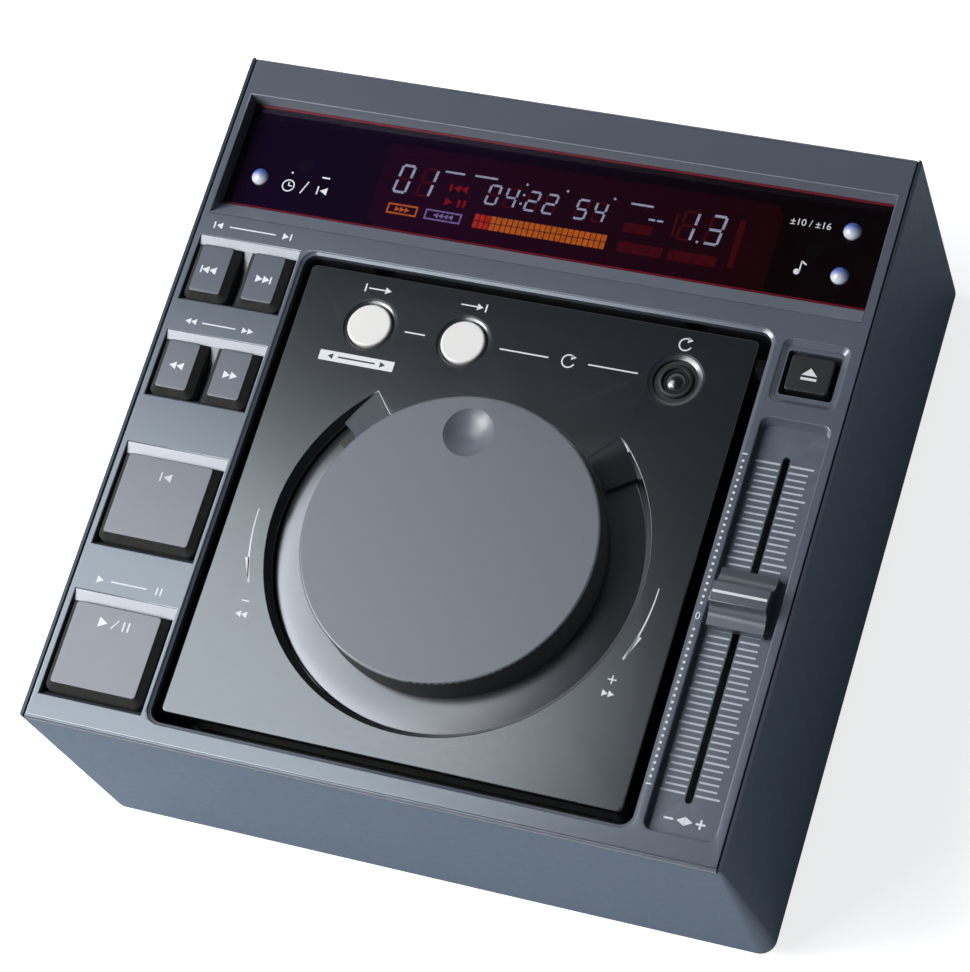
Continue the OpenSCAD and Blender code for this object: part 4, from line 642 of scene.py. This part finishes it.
camera = bpy.data.cameras.new("camera")
camera.lens, camera.sensor_width = LENS, SENSOR
camera.shift_x, camera.shift_y = SHIFT
camera.clip_start, camera.clip_end = CLIP
eye = linked("camera", camera)
eye.location = EYE
eye.rotation_euler = tuple(math.radians(a) for a in EYE_TURN)
bpy.context.scene.camera = eye
bpy.context.scene.view_settings.view_transform = "Standard"


def area_light(name, azimuth, elevation, distance, side, power, colour, aim):
    """Soft box; azimuth 0 stands behind the player (+Y) and 90 at its right."""
    a, e = math.radians(azimuth), math.radians(elevation)
    way = Vector((math.sin(a) * math.cos(e), math.cos(a) * math.cos(e), math.sin(e)))
    light = bpy.data.lights.new(name, "AREA")
    light.shape = "RECTANGLE"
    light.size = light.size_y = side
    light.energy = power
    light.color = colour
    obj = linked(name, light)
    obj.location = Vector(aim) + way * distance
    obj.rotation_mode = "QUATERNION"
    obj.rotation_quaternion = (-way).to_track_quat("-Z", "Y")


def backdrop():
    """Pale floor: white to the camera and a little to mirrors, and it keeps the shadow."""
    material, tree = empty_material("floor")
    ray = add(tree, "LightPath").outputs
    plain = add(tree, "BsdfDiffuse", {"Color": FLOOR_COLOUR}).outputs[0]
    glow = add(tree, "Emission", {"Color": WHITE, "Strength": FLOOR_GLOW}).outputs[0]
    both = add(tree, "AddShader", {0: plain, 1: glow}).outputs[0]
    straight = maths(tree, "MAXIMUM", ray["Is Camera Ray"], ray["Is Transmission Ray"])
    share = maths(tree, "MULTIPLY_ADD", ray["Is Glossy Ray"], FLOOR_MIRRORED, straight)
    choice = add(tree, "MixShader", {0: share, 1: plain, 2: both})
    add(tree, "OutputMaterial", {"Surface": choice.outputs[0]})
    bm = bmesh.new()
    bmesh.ops.create_grid(bm, x_segments=2, y_segments=2, size=FLOOR_SIZE)
    floor = from_bmesh("floor", bm)
    floor.location.z = FLOOR_Z
    floor.data.materials.append(material)


def studio():
    """Room of even light, with a white backdrop for the camera and low white walls for mirrors."""
    world = bpy.data.worlds.new("studio")
    bpy.context.scene.world = world
    world.use_nodes = True
    tree = world.node_tree
    tree.nodes.clear()
    ray = add(tree, "LightPath").outputs
    plain = add(tree, "Background", {"Color": SKY_COLOUR, "Strength": SKY}).outputs[0]
    white = add(tree, "Background", {"Color": WHITE, "Strength": BACK_WHITE}).outputs[0]
    height = axis(tree, add(tree, "TexCoord").outputs["Generated"], "Z")
    low = maths(tree, "MULTIPLY", spread(tree, height, WALL_SHARE, 0, *WALL_RANGE),
                ray["Is Glossy Ray"])
    walls = maths(tree, "MAXIMUM", low, ray["Is Camera Ray"])
    choice = add(tree, "MixShader", {0: walls, 1: plain, 2: white})
    add(tree, "OutputWorld", {"Surface": choice.outputs[0]})


for lamp in LAMPS:
    area_light(*lamp)
backdrop()
studio()


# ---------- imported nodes, and those with rounded edges ----------

for node, slot in SLOT.items():
    paint(frame["nodes"][node], "key_black" if slot == "key_plastic" else slot)
paint(frame["nodes"]["reloop_button"], "gloss_black")

PANEL_EDGE, KEY_EDGE, LID_KEY_EDGE = 0.35, 0.25, 0.3
dressed("top_panel", "panel_paint", PANEL_EDGE)
dressed("lower_case", "case_paint")
dressed("lid_shell", "lid_paint", PANEL_EDGE)
dressed("jog_platter", "platter_plastic")
dressed("slider_cap", "knob", KEY_EDGE)
dressed("lid_key", "black_plastic", LID_KEY_EDGE)

# Reaches within which faces are picked for a coat, and limits of the direction that they face. Each
# pick below is given the centre of a face in mm and its direction.
FRAME_X, FRAME_Y, FRAME_Z = 104.8, (57.3, 99), (84, 89.99)
FRAME_UP, FRAME_AWAY, FRAME_BACK = 0.9, -0.4, 0.3
SHELF_R, SHELF_Z, SHELF_UP = (40, 62), 84, (0.5, 0.9995)
RIM_Z, RIM_UP = 86, 0.3


def on_case_rim(c, n):
    return c.z > RIM_Z and n.z > RIM_UP


# painted highlight: the frame's right, rear and front walls, not the left wall that faces away
def in_window_frame(c, n):
    within = (FRAME_Y[0] < c.y < FRAME_Y[1] and FRAME_Z[0] < c.z < FRAME_Z[1]
              and abs(c.x) < FRAME_X)
    return within and n.z < FRAME_UP and (min(n.x, n.y) < FRAME_AWAY or n.y > FRAME_BACK)


# painted light: only the shelf left of the dial is picked
def on_left_shelf(c, n):
    r = math.hypot(c.x - JOG.x, c.y - JOG.y)
    return (c.x < JOG.x and c.y > JOG.y and SHELF_R[0] < r < SHELF_R[1] and c.z > SHELF_Z
            and SHELF_UP[0] < n.z < SHELF_UP[1])


overlay("case_rim", "lower_case", on_case_rim, "rim_paint", "base")
# painted highlight: a lighter coat on the lit walls of the window frame
overlay("window_frame", "top_panel", in_window_frame, "frame_highlight_paint", "base")
# painted light: a lighter, matt coat on the lid's left shelf
overlay("shelf_face", "lid_shell", on_left_shelf, "shelf_paint", "lid")

KEY_FLANK = 1.9           # run of a key's flanks
STEEP_FLANK = 0.35        # and of its rear flank once that is pressed together
for node in ("play_key", "cue_key", "search_back_key", "search_forward_key", "track_back_key",
             "track_forward_key"):
    dressed(node, "key_two_tone", KEY_EDGE, rear=corners(node)[1].y - KEY_FLANK + STEEP_FLANK)

# The floor of each key recess rises to the panel behind the keys in a shallow ramp, bright from the
# lamps and from its paint, lighter than the panel's: painted highlight. Between two keys of a pair,
# another one falls to the recess floor.
RECESS_X = (-105.0, -71.7)
RECESS_REAR = {"play_key": -69.8, "cue_key": -21.3, "search_back_key": 16.6,
               "track_back_key": 49.3}
RAMP_Z, RAMP_FOOT, RAMP_SLOPE = 89.75, 88.6, math.tan(math.radians(20))
RAMP_THICK, RAMP_CLEAR = 0.5, 0.05        # thickness at the front, and room at the sides
RAMP_START, RAMP_OVER = 0.75, 0.2         # from the key's rear face, and past the recess
GAP_RUN, GAP_Z = 5.6, (85.35, 84.9)       # run to the front, and heights of the front end
GAP_CLEAR, GAP_OVER, GAP_LIFT = 0.3, 0.1, 0.02
ramps = bmesh.new()


def ramp(x, profile):
    """Strip of even cross-section along X; the profile is a closed run of (y, z) points."""
    solid(ramps, *([metres(end, y, z) for y, z in profile] for end in x))


for node, rear in RECESS_REAR.items():
    front = corners(node)[1].y - KEY_FLANK + RAMP_START
    low = RAMP_Z - (rear - front) * RAMP_SLOPE
    ramp((RECESS_X[0] + RAMP_CLEAR, RECESS_X[1] - RAMP_CLEAR),
         [(rear + RAMP_OVER, RAMP_Z), (front, low), (front, low - RAMP_THICK),
          (rear + RAMP_OVER, RAMP_FOOT)])
    if "_back_" in node:
        partner = node.replace("back", "forward")
        ramp((corners(node)[1].x + GAP_CLEAR, corners(partner)[0].x - GAP_CLEAR),
             [(front + GAP_OVER, low + GAP_LIFT), (front - GAP_RUN, GAP_Z[0]),
              (front - GAP_RUN, GAP_Z[1]), (front + GAP_OVER, low - RAMP_THICK)])
finish_object(from_bmesh("recess_ramps", ramps), "ramp_highlight_paint", "base")

# The ring round the platter falls a little to its rim; a dark mark lies on it.
RING_PROFILE = [(44.2, 84.7), (44.2, 86.4), (55.4, 85.83), (55.75, 85.68), (55.9, 85.3),
                (55.9, 84.7)]
MARK_R, MARK_TURN, MARK_HALF, MARK_Z, MARK_SUNK = 51.6, math.radians(148), (1.9, 2.3), 86.15, 1
finish_object(revolve("jog_ring_shape", RING_PROFILE, JOG, n=192), "ring_plastic",
              BODY["jog_ring"], SLOT["jog_ring"], ("jog_ring",))
ring_mark = []
for across, along in ((-1, -1), (1, -1), (1, 1), (-1, 1)):
    r, side = MARK_R + across * MARK_HALF[0], along * MARK_HALF[1]
    ring_mark.append((JOG.x + r * math.cos(MARK_TURN) - side * math.sin(MARK_TURN),
                      JOG.y + r * math.sin(MARK_TURN) + side * math.cos(MARK_TURN)))
marks("ring_mark", [ring_mark], MARK_Z, "jog", "black_plastic", low=-MARK_SUNK)


# ---------- printed marks ----------

# over the key recesses: what the pair below does, in signs
TRACK_SIGN_Y, SEARCH_SIGN_Y, PLAY_SIGN_Y = 53.2, 20.4, -65.8
marks("track_sign", [upright(-101.6, TRACK_SIGN_Y, 2.2), triangle(-99.9, TRACK_SIGN_Y, 2.2, -1),
                     line(-96.5, -81, TRACK_SIGN_Y), triangle(-77.6, TRACK_SIGN_Y, 2.2),
                     upright(-75.9, TRACK_SIGN_Y, 2.2)], TOP, "base")
marks("search_sign", arrows(-98.4, SEARCH_SIGN_Y, 2, -1) + [line(-94.6, -83.4, SEARCH_SIGN_Y)]
      + arrows(-79.4, SEARCH_SIGN_Y, 2, 1), TOP, "base")
marks("play_sign", [triangle(-98.2, PLAY_SIGN_Y, 2.4), line(-94.6, -83, PLAY_SIGN_Y),
                    upright(-79.6, PLAY_SIGN_Y, 2.4), upright(-78.2, PLAY_SIGN_Y, 2.4)],
      TOP, "base")

# on the keys
TRACK_Y, SEARCH_Y, CUE_Y, PLAY_Y = 37.4, 4.8, -31, -79
KEY_TOP = top("play_key")
marks("play_glyph", [triangle(-92, PLAY_Y, 3.2),
                     stroke(-89.2, PLAY_Y - 1.5, -87.2, PLAY_Y + 1.5, 0.35),
                     upright(-85.3, PLAY_Y, 3), upright(-83.7, PLAY_Y, 3)], KEY_TOP, "play_key")
marks("cue_glyph", [upright(-89.9, CUE_Y, 2.8, 0.55), triangle(-87.7, CUE_Y, 2.8, -1)],
      KEY_TOP, "cue_key", "print_dim")
marks("track_back_glyph", [upright(-100.2, TRACK_Y, 2.4)] + arrows(-97.6, TRACK_Y, 2.5, -1),
      KEY_TOP, "track_back_key")
marks("track_forward_glyph", arrows(-79.6, TRACK_Y, 2.5, 1) + [upright(-77, TRACK_Y, 2.4)],
      KEY_TOP, "track_forward_key")
marks("search_back_glyph", arrows(-97.4, SEARCH_Y, 2.5, -1), KEY_TOP, "search_back_key")
marks("search_forward_glyph", arrows(-79.4, SEARCH_Y, 2.5, 1), KEY_TOP, "search_forward_key")
EJECT_X, EJECT_Y, EJECT_HALF = 93.4, 38.4, 2.4
marks("lid_key_glyph", [[(EJECT_X - EJECT_HALF, EJECT_Y - 0.3),
                         (EJECT_X + EJECT_HALF, EJECT_Y - 0.3), (EJECT_X, EJECT_Y + 2.1)],
                        line(EJECT_X - EJECT_HALF, EJECT_X + EJECT_HALF, EJECT_Y - 1.4, 0.8)],
      top("lid_key"), "lid_key")

# on the lid: loop signs, the bar under the first button, and the turning arrows round the dial
LOOP_Y = middle("in_button").y
LOOP_SIGN_Y = LOOP_Y + 12
BAR_X, BAR_Y, BAR_MID = (-54.6, -30.4), (15.8, 19.1), 17.45
ARROW_R, ARROW_WIDTHS = 62.7, (0.28, 0.62)
BARB_AT, BARB_R, TIP_R = 0.66, (-0.1, 1.15), 0.1      # share of the arrow; reaches past its radius
marks("loop_signs",
      [upright(-47, LOOP_SIGN_Y, 2.6), line(-46, -40.4, LOOP_SIGN_Y),
       triangle(-39.6, LOOP_SIGN_Y, 2.2), line(-16, -10.6, LOOP_SIGN_Y),
       triangle(-9.8, LOOP_SIGN_Y, 2.2), upright(-7.9, LOOP_SIGN_Y, 2.6),
       circle_line(55, LOOP_SIGN_Y - 0.4, 1.9, 0.45, 60, 340),
       triangle(56.2, LOOP_SIGN_Y + 1.1, 1.8), line(-30.5, -24, LOOP_Y, 0.45),
       line(0, 15.5, LOOP_Y, 0.45), line(28, 43.5, LOOP_Y, 0.45),
       circle_line(21.8, LOOP_Y, 2, 0.45, 50, 340), triangle(23.2, LOOP_Y + 1.4, 1.8)],
      TOP, "lid")
marks("adjust_bar", [rounded(BAR_X, BAR_Y, r=0.3, n=2)], TOP, "lid")
marks("adjust_arrows", [triangle(-51, BAR_MID, 1.9, -1), line(-48.5, -36.5, BAR_MID, 0.5),
                        triangle(-34, BAR_MID, 1.9)],
      TOP + LINEN, "lid", "black_plastic", low=-0.01, high=0.02)


def turning_arrow(name, side, start, end, sign):
    """Curved arrow beside the dial; its barb stands on the side away from the dial.

    Side is 1 or -1, and keeps the turn of the head's outline the same at both sides of the dial.
    """
    tip = math.radians(end)
    barb = math.radians(start + (end - start) * BARB_AT)
    head = [(JOG.x + (ARROW_R + out) * math.cos(a), JOG.y + (ARROW_R + out) * math.sin(a))
            for out, a in ((BARB_R[0], barb), (BARB_R[1], barb), (TIP_R, tip))][::side]
    marks(name, [arc(JOG, ARROW_R, start, end, ARROW_WIDTHS, n=24), head] + sign, TOP, "lid")


turning_arrow("reverse_arrow", 1, 179.9, 201.3,
              [line(-52.9, -50.5, -63)] + arrows(-51.7, -67.2, 2, -1))
turning_arrow("forward_arrow", -1, 0, -21.3, plus(62.8, -63.7, 2.6) + arrows(62.8, -68, 2, 1))

# tempo scale on the channel floor, dots beside it and the line on the slider
CHANNEL_Z = 87.0
SCALE_Y, PITCH, STEPS, LONG_EVERY = -40.15, 2.026, 25, 5
LONG_TICK, SHORT_TICK = (84.05, 101.85, 0.62), (85.2, 100.5, 0.55)      # start, end, width
LEVER_GAP = 1.5           # from the slider's middle to the start of a tick
DOT_X, DOT_R = 81.6, 0.42
END_DASH_HALF, END_DASH_STEP = 0.8, 25.1      # the dots end at a dash, this many steps from the 0
TEMPO_SIGN_Y = -98.6
CAP_LINE_INSET, CAP_LINE_WIDTH = 0.4, 0.8
slide_x, slide_y = middle("slider_cap")
ticks = []
for i in range(-STEPS, STEPS + 1):
    start, end, width = SHORT_TICK if i % LONG_EVERY else LONG_TICK
    y = SCALE_Y + i * PITCH
    ticks += [line(start, slide_x - LEVER_GAP, y, width), line(slide_x + LEVER_GAP, end, y, width)]
marks("tempo_ticks", ticks, CHANNEL_Z, "base", "print_mid")
marks("tempo_dots", [disc(DOT_X, SCALE_Y + i * PITCH, DOT_R, n=10)
                     for i in range(1 - STEPS, STEPS) if abs(i) > 1]
      + [line(DOT_X - END_DASH_HALF, DOT_X + END_DASH_HALF, SCALE_Y + s * END_DASH_STEP * PITCH)
         for s in (-1, 1)], TOP, "base")
lettered("tempo_zero", "0", (DOT_X, SCALE_Y), TOP, "base")
marks("tempo_sign", [line(87.6, 90.4, TEMPO_SIGN_Y, 0.6), triangle(92.5, TEMPO_SIGN_Y, 2.6, -1),
                     triangle(94.9, TEMPO_SIGN_Y, 2.6, 1)] + plus(98.4, TEMPO_SIGN_Y, 2.8, 0.6),
      CHANNEL_Z, "base")
cap_low, cap_high = corners("slider_cap")
marks("slider_line", [line(cap_low.x + CAP_LINE_INSET, cap_high.x - CAP_LINE_INSET, slide_y,
                           CAP_LINE_WIDTH)], cap_high.z, "tempo_slider")

# beside the domed buttons, on the window: dot, dash, clock, slash, back to start; range; a note
CLOCK_X, DASH_Y, CLOCK_Y = -85.3, 77.4, 72.9
marks("time_sign", [disc(CLOCK_X, DASH_Y, 0.35, n=10), line(-75.2, -72.6, DASH_Y, 0.5),
                    circle_line(CLOCK_X, CLOCK_Y, 1.9, 0.4),
                    upright(CLOCK_X, CLOCK_Y + 0.6, 1.2, 0.4),
                    line(CLOCK_X + 0.2, CLOCK_X + 1.2, CLOCK_Y),
                    stroke(-80.8, CLOCK_Y - 2, -79, CLOCK_Y + 2.3, 0.4),
                    upright(-75.4, CLOCK_Y, 2.8), triangle(-73.4, CLOCK_Y, 2.6, -1)],
      WINDOW_TOP, "base")
lettered("tempo_range_numbers", "\u00b110 / \u00b116", (79.4, 88.3), WINDOW_TOP, "base")
marks("hold_sign", [disc(79.2, 72.4, 0.95, n=16), upright(80, 74.2, 3.6, 0.4),
                    stroke(80, 76, 81.6, 75, 0.5)], WINDOW_TOP, "base")


# ---------- display ----------

# The lit figures lie on the display glass, below the window. Places are given as they are seen
# through the window from the front right; the depth of the glass moves them back to where they lie.
GLASS_Z = top("display_module") - 1.0
GLASS_DEPTH = TOP - GLASS_Z
SEEN_RIGHT, SEEN_LOW = 0.38, 0.37         # shift of what is seen, for each mm of depth
LIT, UNLIT = 0.12, 0.06                   # heights of lit and dark parts over the glass
# Lit bars of each figure, by their usual letters.
SEGMENTS = {"0": "abcdef", "1": "bc", "2": "abged", "3": "abgcd", "4": "fgbc", "5": "afgcd"}
# Foot, top and width of line of the figures at the left, in the middle and at the right.
TRACK_ROW, TIME_ROW, TEMPO_ROW = (74.5, 84.5, 0.8), (75.5, 82.5, 0.66), (74.2, 84.4, 0.8)
FIGURES = (("0", -48.8, -44.9, TRACK_ROW), ("1", -41.2, -37.2, TRACK_ROW),
           ("0", -18.9, -15.6, TIME_ROW), ("4", -13.1, -9.8, TIME_ROW),
           ("2", -6.1, -2.8, TIME_ROW), ("2", -0.3, 3.0, TIME_ROW),
           ("5", 9.9, 13.2, TIME_ROW), ("4", 15.7, 19.0, TIME_ROW),
           ("1", 43.4, 47.6, TEMPO_ROW), ("3", 52, 56.2, TEMPO_ROW))
POINTS, POINT_R = ((-7.9, 77.6), (-7.6, 80.6), (49.6, 74.6)), 0.4
# Start, end and Y of each dash.
DASHES = ((33, 35, 79.3), (35.6, 37.6, 79.3), (-34.6, -28.2, 84.2), (-24.8, -17.4, 84.4),
          (26.2, 33.4, 83.6))
DASH_WIDTH = 0.6
DIAMOND_X, DIAMOND_Y, DIAMOND_R = (-7.6, 5.6, 20.8), 84.2, 0.5
DARK_CELLS = (bar(26, 74, 35, 77.2), bar(26, 67.3, 40, 70.8), bar(42, 67.3, 57, 70.8),
              line(41, 41.8, 79, 8), line(60.8, 62.6, 76, 16))
METER_X, METER_Y, METER_WIDTH, METER_COLUMNS, METER_ROWS = -21, 67, 43, 24, 2
CELL_START, CELL_END, CELL_HEIGHT, AMBER_CELLS = 0.22, 0.1, 2.5, 6
LAMP_Y, LAMP_MID, LAMP_LINE = (67.4, 70.9), 69.15, 0.5
UPPER_Y, LOWER_Y = 79.2, 74.3             # rows of the state lamps
# The red rims are painted glints along the window's edges.
RIM_INSET = 1                             # of the red rims from the window's left and right
REAR_RIM, FRONT_RIM = (0.8, 0.1), (0.1, 0.55)      # their edges, from the window's own


def placed(outlines):
    """Outlines on the glass that are seen where they are given."""
    return [[(x - GLASS_DEPTH * SEEN_RIGHT, y + GLASS_DEPTH * SEEN_LOW) for x, y in outline]
            for outline in outlines]


def figure(x0, x1, y0, y1, width, lean=0.1):
    """Seven bars of a leaning display figure, by their usual letters."""
    mid, half, gap = (y0 + y1) / 2, width / 2, width * 0.3
    bars = {k: bar(x0 + gap, y - half, x1 - gap, y + half)
            for k, y in (("a", y1 - half), ("g", mid), ("d", y0 + half))}
    for k, x, low, high in (("f", x0, mid, y1), ("b", x1, mid, y1), ("e", x0, y0, mid),
                            ("c", x1, y0, mid)):
        bars[k] = bar(x - half, low + gap + half, x + half, high - gap - half)
    return {k: [(x + (y - mid) * lean, y) for x, y in points] for k, points in bars.items()}


def on_glass(name, outlines, material, high=LIT):
    marks(name, placed(outlines), GLASS_Z, "base", material, high=high)


lit, ghost = [], []
for text, x0, x1, row in FIGURES:
    for key, points in figure(x0, x1, *row).items():
        (lit if key in SEGMENTS[text] else ghost).append(points)
lit += [disc(x, y, POINT_R, n=8) for x, y in POINTS]
lit += [line(start, end, y, DASH_WIDTH) for start, end, y in DASHES]
lit += [disc(x, DIAMOND_Y, DIAMOND_R, n=4) for x in DIAMOND_X]
on_glass("display_figures", lit, "glow_white")
# The unlit figures and the dark cells glow dimly red: painted light.
on_glass("display_ghosts", ghost + list(DARK_CELLS), "unlit_red_painted_glow", UNLIT)
cell = METER_WIDTH / METER_COLUMNS
cells = [bar(METER_X + i * cell + CELL_START, METER_Y + k * CELL_HEIGHT + CELL_START,
             METER_X + (i + 1) * cell - CELL_END, METER_Y + (k + 1) * CELL_HEIGHT - CELL_END)
         for i in range(METER_COLUMNS) for k in range(METER_ROWS)]
on_glass("level_amber", cells[:AMBER_CELLS], "glow_amber")
on_glass("level_orange", cells[AMBER_CELLS:], "glow_orange")
on_glass("loop_lamp", frame_bars(-49.3, -39.4, *LAMP_Y, LAMP_LINE)
         + arrows(-44.3, LAMP_MID, 1.7, 1, count=3), "glow_orange")
on_glass("reloop_lamp", frame_bars(-36.8, -24.9, *LAMP_Y, LAMP_LINE)
         + arrows(-30.8, LAMP_MID, 1.7, -1, count=4), "glow_lilac")
on_glass("state_lamps", [triangle(-30.6, LOWER_Y, 2.6), upright(-27.2, LOWER_Y, 2.4, 0.8),
                         upright(-25.4, LOWER_Y, 2.4, 0.8), upright(-31.2, UPPER_Y, 2.4, 0.8),
                         triangle(-29.2, UPPER_Y, 2.4, -1), triangle(-26.8, UPPER_Y, 2.4, -1)],
         "glow_red")

window_low, window_high = corners("display_window")
rim_start, rim_end = window_low.x + RIM_INSET, window_high.x - RIM_INSET
# painted glints: red strips along the rear and front edges of the window
marks("window_rim_glints",
      [bar(rim_start, window_high.y - REAR_RIM[0], rim_end, window_high.y - REAR_RIM[1]),
       bar(rim_start, window_low.y + FRONT_RIM[0], rim_end, window_low.y + FRONT_RIM[1])],
      WINDOW_TOP, "base", "rim_red_glint")


# ---------- round the loop buttons ----------

RELOOP = middle("reloop_button")
WHITE_DISH, BLACK_DISH = 7.35, 6.9        # inner radii of the dished rims
RELOOP_FLOOR_Z = 88.4
COLLAR = [(4.15, 88.0), (4.15, 89.4), (4.4, 89.7), (5.0, 89.6), (5.3, 89.2), (5.3, 88.0)]
LIP_FOOT = [(0.2, 88.35), (0, 88.6), (0, 89.2)]      # out from the inner radius, and height
LIP_RIM = [(8.62, 90), (8.7, 90.01), (8.7, 89.8)]
marks("reloop_floor", [disc(RELOOP.x, RELOOP.y, BLACK_DISH, n=48)], RELOOP_FLOOR_Z, "lid",
      "black_plastic", low=-0.02, high=0.04)
finish_object(revolve("reloop_collar", COLLAR, RELOOP, n=48), "black_plastic", "lid")
for name, inner in (("in_button", WHITE_DISH), ("out_button", WHITE_DISH),
                    ("reloop_button", BLACK_DISH)):
    lip = [(inner + out, z) for out, z in LIP_FOOT] + LIP_RIM
    finish_object(revolve(name.replace("button", "lip"), lip, middle(name), n=64), "dish_paint",
                  "lid")
